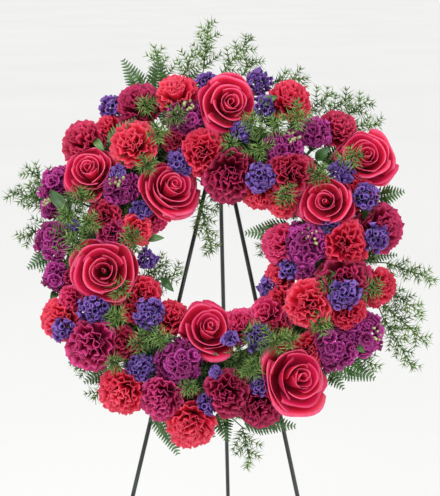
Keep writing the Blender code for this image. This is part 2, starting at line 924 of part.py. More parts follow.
def frond_mesh(stem, path, trees, width):
    """A fern frond: a rib with pointed leaflets cut to it on both sides."""
    points = [*stem, *path]
    alongs = ways_along(points)
    sides = []
    side = alongs[-1].cross(Vector((0, 0, 1)))
    for along in reversed(alongs):
        side = (side - along * side.dot(along)).normalized()
        sides.insert(0, side)
    bm = bmesh.new()
    rings = []
    for place, (point, along, side) in enumerate(zip(points, alongs, sides)):
        share = max(0, place - len(stem)) / (len(path) - 1)
        half = GREEN_STEM * (1.0 - TAPER * share)
        thick = 0.75 * half if place < len(stem) else BLADE / 2
        across = side * half
        up = side.cross(along) * thick
        corners = (across + up, up - across, -across - up, across - up)
        rings.append([bm.verts.new(point + corner) for corner in corners])
    for place, (first, second) in enumerate(zip(rings, rings[1:])):
        share = max(0, place - len(stem)) / (len(path) - 1)
        for step in range(4):
            corners = quad_between(first, second, step)
            length = 0.0
            if place >= len(stem) and step in (1, 3):
                outward = sides[place] * (step - 2)
                down = sides[place].cross(alongs[place]) * LEAFLET_DROOP
                way = (outward + alongs[place] * LEAFLET_LEAN - down).normalized()
                length = width * math.sin(math.pi * (0.2 + 0.74 * share)) ** 0.7
                foot = middle_of(corners)
                length = longest_clear(trees, foot + way * CLEAR_START, way, length)
            if length:
                raise_point(bm, corners, foot + way * length)
            else:
                bm.faces.new(corners)
    bm.faces.new(rings[0])
    bm.faces.new(rings[-1])
    bmesh.ops.triangulate(bm, faces=bm.faces)
    return bm


def tree_of(obj):
    corners = [vert.co.copy() for vert in obj.data.vertices]
    return BVHTree.FromPolygons(corners, [tuple(face.vertices) for face in obj.data.polygons])


def build_heads(group, cutters, rods):
    """Every bloom and cluster, one node for each bunch of a kind and colour."""
    nodes = {}
    kinds = {
        **{name: "rose" for name in ROSES},
        **{name: "carnation" for name in CARNATIONS},
        **{name: "stock" for name in STOCKS},
        **{name: "statice" for name in [*STATICES, *STATICE_AND_FERN]},
    }
    rows = {**ROSES, **CARNATIONS, **STOCKS, **STATICES, **STATICE_AND_FERN}
    for node, kind in kinds.items():
        nodes[node] = []
        for row in rows[node]:
            small = kind == "carnation" and row[2] < SMALL_CARNATION
            shown = "small_carnation" if small else kind
            nodes[node].append(Head(node, shown, row, ROSE_FACES.get(node)))
    heads = [head for members in nodes.values() for head in members]
    holes = plant_stems(nodes, heads, rods)
    objects = []
    fern = [holes[FERN_NODE][0], *(in_view(*point) for point in FERN_POINTS)]
    for first, second in zip(fern, fern[1:]):
        rods.append((FERN_NODE, (first, second), GREEN_STEM + FERN_SLACK))
    for node, members in nodes.items():
        fork, inner, _ = holes[node]
        made = []
        for place, head in enumerate(members):
            limits = cell_of(head, heads, rods)
            into = (inner - fork).normalized()
            route = [fork, inner] if place == 0 else [fork + into]
            bm = head_mesh(head, limits, route, 31 * place + len(objects))
            made.append(new_object(node if place == 0 else node + "_more", bm, group))
        if node == FERN_NODE:
            trees = [tree_of(obj) for obj in objects]
            path = smooth_path(fern[2:], LEAFLET_STEP)
            bm = frond_mesh(fern[:2], path, trees, FERN_WIDTH)
            made.append(new_object(node + "_more", bm, group))
        if len(made) > 1:
            combine(made[0], made[1:], "UNION", cutters)
        made[0].data.materials.append(bpy.data.materials[kinds[node]])
        objects.append(made[0])
    return objects, holes


def green_member(kind, start, root, tip, trees, seed):
    """A spray or a frond that arches from its root to its tip."""
    middle = root.lerp(tip, 0.5)
    middle.z += ARCH * (tip.z - root.z)
    if kind == SPRAY:
        path = smooth_path([root, middle, tip], WHORL_STEP)
        return spray_mesh(start, path, trees, seed)
    path = smooth_path([root, middle, tip], LEAFLET_STEP)
    width = min(WIDEST_FROND, FROND_WIDTH + FROND_SPREAD * (tip - root).length)
    return frond_mesh([start], path, trees, width)


def green_object(node, hole, members, level, seed, groups, trees):
    """A stem with its sprays and fronds, joined into one body."""
    group, cutters = groups
    fork, inner, radius = hole
    into = (inner - fork).normalized()
    made = [new_object(node, prism([inner, fork], radius), group)]
    for place, (kind, root, tip, height) in enumerate(members):
        start = fork + into * (FIRST_BRANCH + BRANCH_STEP * place)
        around = [*trees, *(tree_of(obj) for obj in made[1:])]
        root_at = Vector((*root, level))
        bm = green_member(kind, start, root_at, in_view(*tip, height), around, seed + place)
        made.append(new_object(node + "_more", bm, group))
    combine(made[0], made[1:], "UNION", cutters)
    made[0].data.materials.append(bpy.data.materials["green"])
    trees.append(tree_of(made[0]))
    return made[0]


def build_greens(groups, trees, holes):
    """Asparagus sprays and fern fronds, a node for each stem with its branches."""
    objects = []
    for number, (node, (degrees, outside, members)) in enumerate(GREENS.items()):
        angle = math.radians(degrees)
        wall = FOAM_HALF * outside
        fork = section_point(angle, wall + GREEN_FORK * outside, GREEN_LEVEL)
        inner = section_point(angle, wall - STEM_IN_FOAM * outside, GREEN_LEVEL)
        holes[node] = (fork, inner, GREEN_TRUNK)
        made = green_object(node, holes[node], members, GREEN_LEVEL, 7 * number, groups, trees)
        objects.append(made)
    for node, (_, members) in FACE_GREENS.items():
        made = green_object(node, holes[node], members, FACE_ROOT, 90, groups, trees)
        objects.append(made)
    return objects


def face_stems(rods):
    """Where the greens that stand on the wreath's face go into the foam."""
    holes = {}
    for node, (start, members) in FACE_GREENS.items():
        angle = math.atan2(start[1], start[0])
        across = math.hypot(*start) - RING
        fork = section_point(angle, across, FOAM_FRONT + FACE_FORK)
        inner = section_point(angle, across, FOAM_FRONT - STEM_IN_FOAM)
        holes[node] = (fork, inner, GREEN_TRUNK)
        rods.append((node, (fork, inner), GREEN_TRUNK))
        for _, root, tip, height in members:
            root_at = Vector((*root, FACE_ROOT))
            rods.append((node, (fork, root_at), GREEN_STEM + STEM_SLACK))
            rods.append((node, (root_at, in_view(*tip, height)), GREEN_STEM + FACE_SLACK))
    return holes


def build_foam(group, cutters, holes):
    profile = [(RING + across, depth) for across, depth in foam_section()]
    foam = screw_ring("foam_ring", profile, FOAM_SIDES, group)
    made = []
    for fork, inner, radius in holes.values():
        into = (inner - fork).normalized()
        bore = (radius + GAP) / math.cos(math.pi / HOLE_SIDES)
        bm = prism([fork - into * BORE_MOUTH, inner + into * GAP], bore)
        made.append(new_object("stem_hole", bm, group))
    combine(foam, made, "DIFFERENCE", cutters)
    foam.data.materials.append(bpy.data.materials["foam"])
    return foam


def build_tray(group):
    inside = FOAM_HALF + GAP
    outside = inside + TRAY_WALL
    profile = [
        (RING - outside, 0.0),
        (RING + outside, 0.0),
        (RING + outside, TRAY_LIP),
        (RING + inside, TRAY_LIP),
        (RING + inside, TRAY_BASE),
        (RING - inside, TRAY_BASE),
        (RING - inside, TRAY_LIP),
        (RING - outside, TRAY_LIP),
    ]
    tray = screw_ring("backing_tray", profile, FOAM_SIDES, group)
    tray.data.materials.append(bpy.data.materials["tray"])
    return tray


def wire(name, points, radius, group):
    """A round wire with flat ends, welded into one mesh."""
    data = bpy.data.curves.new(name, "CURVE")
    data.dimensions = "3D"
    data.bevel_depth = radius
    data.bevel_resolution = 2
    data.use_fill_caps = True
    spline = data.splines.new("POLY")
    spline.points.add(len(points) - 1)
    for slot, point in zip(spline.points, points):
        slot.co = (*point, 1.0)
    curve = bpy.data.objects.new(name + "_curve", data)
    group.objects.link(curve)
    bpy.context.view_layer.update()
    graph = bpy.context.evaluated_depsgraph_get()
    mesh = bpy.data.meshes.new_from_object(curve.evaluated_get(graph))
    bpy.data.objects.remove(curve, do_unlink=True)
    bm = bmesh.new()
    bm.from_mesh(mesh)
    bpy.data.meshes.remove(mesh)
    bmesh.ops.remove_doubles(bm, verts=bm.verts, dist=0.001)
    return new_object(name, bm, group)


def cut_level(obj, to_world):
    """Cuts a leg's foot level with the floor, in the world's frame."""
    bm = bmesh.new()
    bm.from_mesh(obj.data)
    bm.transform(to_world)
    cut = bmesh.ops.bisect_plane(
        bm,
        geom=list(bm.verts) + list(bm.edges) + list(bm.faces),
        plane_co=(0, 0, 0),
        plane_no=(0, 0, -1),
        clear_outer=True,
    )
    edges = [item for item in cut["geom_cut"] if isinstance(item, bmesh.types.BMEdge)]
    bmesh.ops.holes_fill(bm, edges=edges)
    bmesh.ops.recalc_face_normals(bm, faces=bm.faces)
    bm.to_mesh(obj.data)
    bm.free()


def eye_points(centre, toward_leg, over):
    """The curl of a leg's top round the bolt, from where the leg meets it."""
    return [
        centre
        + toward_leg * (EYE_RADIUS * math.cos(EYE_TURN * step / EYE_STEPS))
        + over * (EYE_RADIUS * math.sin(EYE_TURN * step / EYE_STEPS))
        for step in range(EYE_STEPS + 1)
    ]


def build_legs(group, to_world, centre_height):
    """Two front legs in the wreath's frame, and the back leg in the world's."""
    foot_v = -(centre_height + LEG_SPARE) / math.cos(LEAN)
    for name, way in (("easel_leg_left", -1), ("easel_leg_right", 1)):
        pivot = Vector((way * EYE_SPACING, PIVOT_V, PIVOT_DEPTH))
        spread = EYE_SPACING + LEG_SPLAY * (PIVOT_V - foot_v)
        foot = Vector((way * spread, foot_v, LEG_DEPTH))
        curl = eye_points(pivot, Vector((0, 0, 1)), Vector((0, 1, 0)))
        cut_level(wire(name, [foot, *curl], ROD, group), to_world)
    bolt_at = to_world @ Vector((0, PIVOT_V, PIVOT_DEPTH))
    down = Vector((0, math.sin(BACK_LEG_ANGLE), -math.cos(BACK_LEG_ANGLE)))
    behind = Vector((0, math.cos(BACK_LEG_ANGLE), math.sin(BACK_LEG_ANGLE)))
    curl = eye_points(bolt_at, behind, -down)
    foot = curl[0] + down * ((bolt_at.z + LEG_SPARE) / math.cos(BACK_LEG_ANGLE))
    cut_level(wire("easel_leg_back", [foot, *curl], ROD, group), Matrix.Identity(4))


def build_bolt(group):
    """The bolt through the three eyes, with a round head at each end."""
    bolt = bmesh.new()
    profile = [
        (BOLT_HALF + BOLT_HEAD_THICK, BOLT_HEAD),
        (BOLT_HALF, BOLT_HEAD),
        (BOLT_HALF, BOLT_RADIUS),
        (-BOLT_HALF, BOLT_RADIUS),
        (-BOLT_HALF, BOLT_HEAD),
        (-BOLT_HALF - BOLT_HEAD_THICK, BOLT_HEAD),
    ]
    across, up = Vector((0, 1, 0)), Vector((0, 0, 1))
    rings = []
    for along, radius in profile:
        centre = Vector((along, PIVOT_V, PIVOT_DEPTH))
        rings.append(ring_of(bolt, centre, across, up, radius, BOLT_SIDES))
    for first, second in zip(rings, rings[1:]):
        bridge(bolt, first, second)
    bolt.faces.new(rings[0])
    bolt.faces.new(rings[-1])
    new_object("pivot_bolt", bolt, group)


def build_hook(group):
    """A bent wire behind the tray whose two arms carry the ring."""
    inner_edge = RING - FOAM_HALF - GAP - TRAY_WALL
    lowest = math.sqrt(inner_edge**2 - HOOK_HALF**2) * math.cos(math.pi / FOAM_SIDES)
    height = lowest - HOOK_WIRE - GAP
    side = []
    for angle in HOOK_ANGLES:
        reach = HOOK_HALF - HOOK_BEND * (1 - math.sin(angle))
        depth = HOOK_WIRE + HOOK_BEND * (1 - math.cos(angle))
        side.append(Vector((reach, height, depth)))
    side.append(Vector((HOOK_HALF, height, HOOK_REACH)))
    other = [Vector((-point.x, point.y, point.z)) for point in reversed(side)]
    wire("ring_hook", other + side, HOOK_WIRE, group)


def build_easel(group, to_world, centre_height):
    """Three wire legs on one bolt, and the hook that the ring hangs on."""
    build_legs(group, to_world, centre_height)
    build_bolt(group)
    build_hook(group)
    objects = []
    for name in (*LEGS, "pivot_bolt", "ring_hook"):
        obj = bpy.data.objects[name]
        obj.data.shade_smooth()
        obj.data.set_sharp_from_angle(angle=SHARP)
        colour = "steel" if name == "pivot_bolt" else "enamel"
        obj.data.materials.append(bpy.data.materials[colour])
        objects.append(obj)
    return objects


def main():
    clear_scene()
    group = new_collection("funeral_wreath")
    cutters = new_collection("cutters", hidden=True)
    for name, colour in COLOURS.items():
        metal = 1.0 if name == "steel" else 0.0
        finish(name, colour, 0.35 if name in SMOOTH else 0.7, metal)
    centre_height = PIVOT_HEIGHT - PIVOT_V * math.cos(LEAN) - PIVOT_DEPTH * math.sin(LEAN)
    upright = Matrix.Rotation(math.radians(90) - LEAN, 4, "X")
    to_world = Matrix.Translation((0, 0, centre_height)) @ upright
    rods = []
    face_holes = face_stems(rods)
    heads, holes = build_heads(group, cutters, rods)
    holes.update(face_holes)
    trees = [tree_of(obj) for obj in heads]
    greens = build_greens((group, cutters), trees, holes)
    foam = build_foam(group, cutters, holes)
    tray = build_tray(group)
    easel = build_easel(group, to_world, centre_height)
    everything = [*heads, *greens, foam, tray, *easel]
    for obj in everything:
        if obj.name not in LEGS:
            obj.data.transform(to_world)
    lowest, highest = bounds(everything)
    middle = (lowest + highest) / 2
    shift = Matrix.Translation((-middle.x, -middle.y, 0.0))
    for obj in everything:
        obj.data.transform(Matrix.Scale(MM, 4) @ shift)
    pivot = (shift @ to_world @ Vector((0, PIVOT_V, PIVOT_DEPTH))) * MM
    back = bpy.data.objects["easel_leg_back"]
    back.data.transform(Matrix.Translation(-pivot))
    back.location = pivot


def bounds(objects):
    corners = [vert.co for obj in objects for vert in obj.data.vertices]
    lowest = Vector(min(corner[axis] for corner in corners) for axis in range(3))
    highest = Vector(max(corner[axis] for corner in corners) for axis in range(3))
    return lowest, highest


if __name__ == "__main__":
    main()
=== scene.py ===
"""Looks of the funeral wreath on its folding wire easel, built round the CAD part.

The flowers and greens are laid out in the wreath's own frame, in millimetres: u to
the right, v up its face and w out of it, from the middle of the hole at the back of
the tray. Each bloom is built facing +Z, turned to face its way and pressed back where
it meets its neighbours.
"""

import logging
import math
from collections.abc import Callable
from dataclasses import dataclass, field
from enum import Enum

import bmesh
import bpy
import numpy as np
from mathutils import Matrix, Vector

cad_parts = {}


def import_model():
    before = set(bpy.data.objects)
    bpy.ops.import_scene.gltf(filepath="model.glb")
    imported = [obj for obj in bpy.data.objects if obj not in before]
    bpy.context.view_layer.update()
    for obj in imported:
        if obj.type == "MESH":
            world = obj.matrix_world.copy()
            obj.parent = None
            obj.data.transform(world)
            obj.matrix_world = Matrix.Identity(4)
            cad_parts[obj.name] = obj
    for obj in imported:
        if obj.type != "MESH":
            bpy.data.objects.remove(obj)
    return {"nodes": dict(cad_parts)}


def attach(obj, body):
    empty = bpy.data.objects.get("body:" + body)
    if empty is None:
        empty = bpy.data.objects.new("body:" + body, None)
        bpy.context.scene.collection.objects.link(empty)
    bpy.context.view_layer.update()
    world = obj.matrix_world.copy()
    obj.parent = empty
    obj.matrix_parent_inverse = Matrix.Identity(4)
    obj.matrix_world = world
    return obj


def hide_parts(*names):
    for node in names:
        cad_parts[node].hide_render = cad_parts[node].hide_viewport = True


LOG = logging.getLogger("wreath")
MM = 0.001
BODY = "stand_and_wreath"

# The wreath's frame in the row's: its lean, its middle's height and its shift, in mm
LEAN = math.radians(12.0)
PIVOT_HEIGHT = 1050.0
PIVOT_V = 165.0
PIVOT_DEPTH = -9.45
SHIFT = (-5.929, -144.33)

# The foam ring, and how the heads lie on it
RING = 174.0
FOAM_HALF = 32.0
FOAM_BACK = 2.4
FOAM_SHOULDER = 31.0
FOAM_FRONT = 48.0
FOAM_TOP_HALF = 20.0
TUBE_DEPTH = 25.0
STEM_IN_FOAM = 15.0
STEM_FORK = 9.0
DOME_HALF = 100.0
DOME_DEPTH = 58.0
HEAD_FLOOR = 19.5
EYE_DISTANCE = 2600.0
FACE_LEAN = 0.75
# Where two heads meet: the share of a radius that a head always keeps, and how far the
# petals of both reach over the middle
LEAST_SHARE = 0.34
PRESS = 2.6
GREEN_LEVEL = 13.5
FACE_ROOT = 62.0

NEEDLE_HALF = 1.00
GOLDEN = math.pi * (3.0 - math.sqrt(5.0))


class Shade(Enum):
    """The colours that the carnations come in."""

    CORAL = "coral"
    RED = "red"
    CRIMSON = "crimson"
    BURGUNDY = "burgundy"
    MAGENTA = "magenta"
    PINK = "pink"


class Green(Enum):
    """The two kinds of cut foliage."""

    SPRAY = "asparagus spray"
    FROND = "leatherleaf frond"


CORAL, RED, CRIMSON = Shade.CORAL, Shade.RED, Shade.CRIMSON
BURGUNDY, MAGENTA, PINK = Shade.BURGUNDY, Shade.MAGENTA, Shade.PINK
SPRAY, FROND = Green.SPRAY, Green.FROND

# Each head is its place u and v, its radius, and how far it stands forward.
ROSES = {
    "rose_top": (16, 230, 36, 4),
    "rose_upper_left": (-188, 126, 33, 4),
    "rose_inner_left": (-70, 102, 34, 6),
    "rose_left": (-165, -22, 43, 2),
    "rose_bottom": (-10, -110, 34, 8),
    "rose_lower_right": (118, -178, 41, 8),
    "rose_right": (168, 84, 35, 6),
    "rose_upper_right": (220, 150, 35, 6),
}
ROSE_FACES = {
    "rose_top": (0.28, 0.12),
    "rose_upper_left": (-0.10, 0.38),
    "rose_inner_left": (0.45, 0.35),
    "rose_left": (0.05, 0.03),
    "rose_bottom": (0.25, 0.42),
    "rose_lower_right": (0.60, 0.10),
    "rose_right": (-0.15, 0.08),
    "rose_upper_right": (0.15, 0.25),
}
CARNATIONS = {
    "carnations_top_left": [
        (-60, 243, 27, 4, CORAL),
        (-117, 228, 29, 2, BURGUNDY),
        (-125, 204, 20, -8, BURGUNDY),
    ],
    "carnations_upper_left": [
        (-122, 170, 29, 6, CORAL),
        (-162, 195, 18, -8, RED),
        (-198, 171, 29, 0, CRIMSON),
    ],
    "carnations_inner_top": [
        (-20, 158, 29, 2, RED),
        (-60, 176, 17, -10, CRIMSON),
        (21, 128, 35, 4, BURGUNDY),
    ],
    "carnations_top_right": [(107, 234, 27, 0, RED), (177, 195, 24, -4, CRIMSON)],
    "carnations_inner_upper_right": [
        (111, 128, 31, 6, CRIMSON),
        (66, 102, 23, -2, CORAL),
        (102, 87, 21, -6, CORAL),
    ],
    "carnations_right": [
        (210, 98, 25, -14, RED),
        (242, 48, 30, -2, BURGUNDY),
        (195, 24, 30, 4, RED),
    ],
    "carnations_inner_right": [(105, 21, 27, 0, PINK), (98, -27, 20, -8, CORAL)],
    "carnations_lower_inner_right": [(143, -66, 30, 8, CORAL), (144, -135, 25, -14, CORAL)],
    "carnations_hole_lower_right": [
        (98, -59, 21, -8, RED),
        (81, -81, 22, 0, PINK),
        (90, -104, 21, -8, CRIMSON),
        (40, -102, 24, -2, PINK),
    ],
    "carnations_lower_right": [
        (191, -32, 35, 0, BURGUNDY),
        (240, -39, 23, -4, RED),
        (198, -77, 24, 2, RED),
    ],
    "carnations_bottom_right": [(20, -200, 30, 4, BURGUNDY), (69, -216, 27, 0, BURGUNDY)],
    "carnations_bottom_left": [
        (-33, -242, 31, 4, CORAL),
        (-42, -215, 19, -12, BURGUNDY),
        (-75, -206, 29, 2, MAGENTA),
        (-134, -197, 30, 2, CORAL),
    ],
    "carnations_lower_left": [(-182, -128, 34, 4, MAGENTA), (-135, -128, 21, -10, CRIMSON)],
    "carnations_far_left": [
        (-227, -93, 28, 0, CORAL),
        (-213, -63, 18, 0, PINK),
        (-215, -33, 15, -12, BURGUNDY),
    ],
    "carnations_inner_left": [
        (-108, -53, 22, -2, RED),
        (-120, -78, 18, -8, RED),
        (-66, -90, 22, -4, RED),
    ],
    "carnations_left": [
        (-165, 63, 21, -4, CRIMSON),
        (-155, 36, 21, -4, MAGENTA),
        (-119, 42, 21, 0, CORAL),
        (-92, 57, 15, -6, PINK),
    ],
}
STOCKS = {
    "stock_top": [(-48, 212, 29, -6)],
    "stock_left": [(-240, 110, 26, -4), (-246, 75, 15, -6), (-242, 26, 27, -2), (-239, -28, 20, -6)],
    "stock_inner_left": [(-143, 104, 26, 0)],
    "stock_bottom": [(-51, -153, 32, 2)],
    "stock_top_right": [(105, 165, 28, 2), (147, 189, 24, 0)],
    "stock_right": [(137, 22, 31, 6), (134, -19, 14, -2)],
    "stock_lower_right": [(219, -108, 30, 0), (180, -131, 31, 0)],
}
# Where a spike's closed buds sit on it, as u and v against w, by the spike's place
STOCK_BUDS = {
    (-48, 212): (0.35, 0.35), (-246, 75): (-0.2, 0.3), (-143, 104): (-0.1, 0.4),
    (137, 22): (0.5, 0.6), (105, 165): (0.3, 0.5), (219, -108): (0.6, 0.2),
}
STATICES = {
    "statice_top": [(-15, 266, 15, 10), (59, 264, 18, 2), (72, 229, 14, 4)],
    "statice_inner_top": [(40, 190, 14, 12), (69, 122, 18, 26)],
    "statice_upper_left": [(-53, 142, 18, 4), (-111, 72, 13, 2), (-104, -3, 13, -2)],
    "statice_upper_right": [(188, 128, 16, 8), (222, 95, 17, 20)],
    "statice_right": [(240, 33, 17, 24), (174, 50, 13, 8), (196, -52, 19, 30)],
    "statice_hole_right": [(111, -14, 13, 6), (82, -44, 15, 2)],
    "statice_bottom": [(66, -118, 18, 6), (71, -189, 14, 10), (-6, -215, 15, 8)],
    "statice_lower_left": [(-110, -164, 18, 2), (-98, -84, 20, 12)],
    "statice_far_left": [(-180, -77, 20, 10), (-226, -108, 15, 24)],
    "statice_and_fern_top_left": [(-158, 228, 16, 2)],
}

# Each green grows from its own hole in the foam's wall: the angle round the ring and
# the side of it, then its sprays and fronds by root, tip and height of the tip.
GREENS = {
    "greens_top": (102, 1, [
        (SPRAY, (-24, 284), (-15, 359), 34),
        (SPRAY, (4, 280), (51, 336), 30),
        (SPRAY, (34, 276), (53, 303), 24),
        (SPRAY, (-57, 262), (-40, 314), 30),
        (SPRAY, (-82, 262), (-99, 321), 26),
        (SPRAY, (76, 266), (134, 273), 30),
        (FROND, (-108, 240), (-144, 298), 30),
        (FROND, (-92, 250), (-90, 303), 40),
        (FROND, (-48, 256), (-30, 286), 22),
    ]),
    "greens_top_right": (50, 1, [
        (SPRAY, (134, 222), (172, 252), 28),
        (SPRAY, (160, 218), (197, 246), 20),
        (SPRAY, (183, 210), (226, 242), 34),
        (SPRAY, (199, 200), (244, 204), 24),
    ]),
    "greens_right": (0, 1, [
        (FROND, (238, 96), (277, 104), 26),
        (SPRAY, (250, -2), (327, -28), 30),
        (SPRAY, (246, -38), (309, -78), 36),
        (SPRAY, (245, -62), (315, -123), 26),
        (SPRAY, (247, -84), (294, -159), 32),
    ]),
    "greens_lower_right": (-41, 1, [
        (FROND, (170, -168), (190, -190), 24),
        (FROND, (186, -152), (235, -174), 22),
        (SPRAY, (206, -140), (245, -158), 16),
    ]),
    "greens_bottom": (-91, 1, [
        (FROND, (-88, -222), (-56, -290), 24),
        (FROND, (6, -228), (19, -270), 26),
        (FROND, (44, -238), (118, -247), 26),
        (SPRAY, (40, -248), (54, -304), 22),
    ]),
    "greens_lower_left": (-134, 1, [
        (FROND, (-164, -166), (-196, -186), 26),
        (SPRAY, (-176, -160), (-214, -166), 18),
        (SPRAY, (-158, -182), (-184, -212), 20),
    ]),
    "greens_left": (165, 1, [
        (SPRAY, (-252, 84), (-315, 100), 30),
        (SPRAY, (-250, 104), (-291, 138), 26),
        (SPRAY, (-248, 50), (-300, 27), 24),
        (SPRAY, (-252, 66), (-284, 110), 46),
        (FROND, (-250, 8), (-284, -15), 22),
    ]),
    "greens_hole_top": (109, -1, [
        (SPRAY, (-30, 96), (-6, 8), 30),
        (SPRAY, (-14, 108), (18, 86), 34),
    ]),
    "greens_hole_right": (24, -1, [
        (FROND, (108, 46), (44, 40), 24),
        (SPRAY, (104, 34), (57, 20), 18),
    ]),
    "greens_hole_left": (192, -1, [
        (SPRAY, (-114, -30), (-74, -4), 26),
        (SPRAY, (-112, -38), (-50, -20), 30),
    ]),
}
FACE_GREENS = {
    "greens_face_bottom": ((44, -160), [
        (SPRAY, (36, -158), (22, -140), 92),
        (SPRAY, (44, -164), (44, -178), 98),
        (SPRAY, (54, -156), (66, -146), 94),
        (SPRAY, (66, -142), (98, -124), 92),
    ]),
}
FERN_NODE = "statice_and_fern_top_left"
FERN_POINTS = [(-150, 162, 60), (-160, 172, 84), (-146, 192, 96), (-122, 209, 94)]


# The wreath's frame


def wreath_frame() -> Matrix:
    """Gives the matrix from the wreath's frame in millimetres to the row's in metres.

    Returns:
        A 4 by 4 matrix.
    """
    height = PIVOT_HEIGHT - PIVOT_V * math.cos(LEAN) - PIVOT_DEPTH * math.sin(LEAN)
    turn = Matrix.Rotation(math.radians(90.0) - LEAN, 4, "X")
    return Matrix.Scale(MM, 4) @ Matrix.Translation((*SHIFT, height)) @ turn


FRAME = np.array(wreath_frame())


def to_row(points: np.ndarray) -> np.ndarray:
    """Moves points from the wreath's frame to the row's.

    Args:
        points: Rows of u, v and w in millimetres.

    Returns:
        The same points in metres, in the row's frame.
    """
    return points @ FRAME[:3, :3].T + FRAME[:3, 3]


def from_row(points: np.ndarray) -> np.ndarray:
    """Moves points from the row's frame back to the wreath's.

    Args:
        points: Rows of x, y and z in metres.

    Returns:
        The same points as u, v and w in millimetres.
    """
    back = np.array(wreath_frame().inverted())
    return points @ back[:3, :3].T + back[:3, 3]


def in_view(u: float, v: float, w: float) -> np.ndarray:
    """A point seen at u and v on the wreath's back plane, but w in front of it."""
    nearer = 1.0 - w / EYE_DISTANCE
    return np.array((u * nearer, v * nearer, w))


def on_ring(reach: float, turn: float, w: float) -> np.ndarray:
    """A point so far from the middle of the hole, turned round it from the right."""
    return np.array((reach * math.cos(turn), reach * math.sin(turn), w))


def unit(vector: np.ndarray) -> np.ndarray:
    """The vector at length one, along its last axis."""
    return vector / np.maximum(np.linalg.norm(vector, axis=-1, keepdims=True), 1e-9)


def turned_to(way: np.ndarray, twist: float = 0.0) -> np.ndarray:
    """A turn that carries +Z to a direction.

    Args:
        way: The direction, of length one.
        twist: A first turn about +Z, in radians.

    Returns:
        A 3 by 3 matrix.
    """
    turn = Vector((0.0, 0.0, 1.0)).rotation_difference(Vector(way)).to_matrix()
    return np.array(turn @ Matrix.Rotation(twist, 3, "Z"))


# Mesh templates


def to_mesh(bm: bmesh.types.BMesh, name: str) -> bpy.types.Mesh:
    """Puts a bmesh in a new mesh and frees it.

    Args:
        bm: The bmesh.
        name: The mesh's name.

    Returns:
        The new mesh.
    """
    mesh = bpy.data.meshes.new(name)
    bm.to_mesh(mesh)
    bm.free()
    return mesh


def plain_mesh(name: str, shape: Callable, **settings) -> bpy.types.Mesh:
    """A mesh of one of bmesh's own shapes, with the UV map that the finishes read.

    Args:
        name: The mesh's name.
        shape: The bmesh operator that makes it.
        **settings: What that operator takes.

    Returns:
        The mesh.
    """
    bm = bmesh.new()
    bm.loops.layers.uv.new("along")
    shape(bm, calc_uvs=True, **settings)
    return to_mesh(bm, name)


def sheet(columns: int, rows: int) -> bpy.types.Mesh:
    """A flat grid from -1 to 1 both ways, the start of every petal, leaf and rod.

    Args:
        columns: How many faces across.
        rows: How many faces along.

    Returns:
        The grid.
    """
    return plain_mesh(
        "sheet", bmesh.ops.create_grid, x_segments=columns, y_segments=rows, size=1.0
    )


def needle() -> bpy.types.Mesh:
    """A three-sided needle, from -1 at its foot to 1 at its point along Z.

    Returns:
        The needle.
    """
    return plain_mesh(
        "needle", bmesh.ops.create_cone, cap_ends=True, segments=3, radius1=1.0, radius2=0.0, depth=2.0
    )


def bud() -> bpy.types.Mesh:
    """A round bud of radius one."""
    return plain_mesh("bud", bmesh.ops.create_icosphere, subdivisions=2, radius=1.0)


def funnel(sides: int) -> bpy.types.Mesh:
    """An open cone of so many faces, from a narrow throat at -1 to a rim of radius one at 1.

    Args:
        sides: How many faces round it.

    Returns:
        The funnel.
    """
    return plain_mesh(
        "funnel", bmesh.ops.create_cone,
        cap_ends=False, segments=sides, radius1=0.3, radius2=1.0, depth=2.0,
    )


def points_of(mesh: bpy.types.Mesh) -> np.ndarray:
    """The mesh's vertices as rows of three.

    Args:
        mesh: The mesh to read.

    Returns:
        One row a vertex.
    """
    flat = np.empty(len(mesh.vertices) * 3, np.float32)
    mesh.vertices.foreach_get("co", flat)
    return flat.reshape(-1, 3).astype(np.float64)


def linked(name: str, data: bpy.types.ID) -> bpy.types.Object:
    """A new object of this data, linked to the scene.

    Args:
        name: The object's name.
        data: Its mesh, lamp or camera.

    Returns:
        The object.
    """
    obj = bpy.data.objects.new(name, data)
    bpy.context.scene.collection.objects.link(obj)
    return obj


def applied(obj: bpy.types.Object) -> bpy.types.Mesh:
    """Takes an object out of the scene again and gives its mesh with the modifiers applied.

    Args:
        obj: The object, which is removed.

    Returns:
        The new mesh.
    """
    graph = bpy.context.evaluated_depsgraph_get()
    made = bpy.data.meshes.new_from_object(obj.evaluated_get(graph))
    bpy.data.objects.remove(obj, do_unlink=True)
    return made


def repeated(template: bpy.types.Mesh, count: int) -> bpy.types.Mesh:
    """Repeats a template in one mesh, with its UV map.

    Args:
        template: The mesh to repeat.
        count: How many times.

    Returns:
        A new mesh whose vertices are the template's, count times over.
    """
    obj = linked("repeated", template)
    array = obj.modifiers.new("array", "ARRAY")
    array.fit_type = "FIXED_COUNT"
    array.count = count
    array.use_relative_offset = False
    array.use_constant_offset = True
    array.constant_offset_displace = (0.0, 0.0, 10.0)
    return applied(obj)


def shaped(
    template: bpy.types.Mesh, points: np.ndarray, tones: np.ndarray, material: int
) -> bpy.types.Mesh:
    """Repeats a template and puts each copy's vertices where they go.

    Args:
        template: The mesh that each copy starts from.
        points: Copies by vertices by three, in the wreath's frame.
        tones: One number from 0 to 1 for each copy, which its finish reads.
        material: The slot that all the faces take.

    Returns:
        The new mesh, still in the wreath's frame.
    """
    count = len(points)
    mesh = repeated(template, count)
    each = len(template.vertices)
    mesh.vertices.foreach_set("co", points.reshape(-1).astype(np.float32))
    tone = mesh.attributes.new("tone", "FLOAT", "POINT")
    tone.data.foreach_set("value", np.repeat(tones, each).astype(np.float32))
    mesh.polygons.foreach_set("material_index", np.full(len(mesh.polygons), material))
    mesh.update()
    return mesh


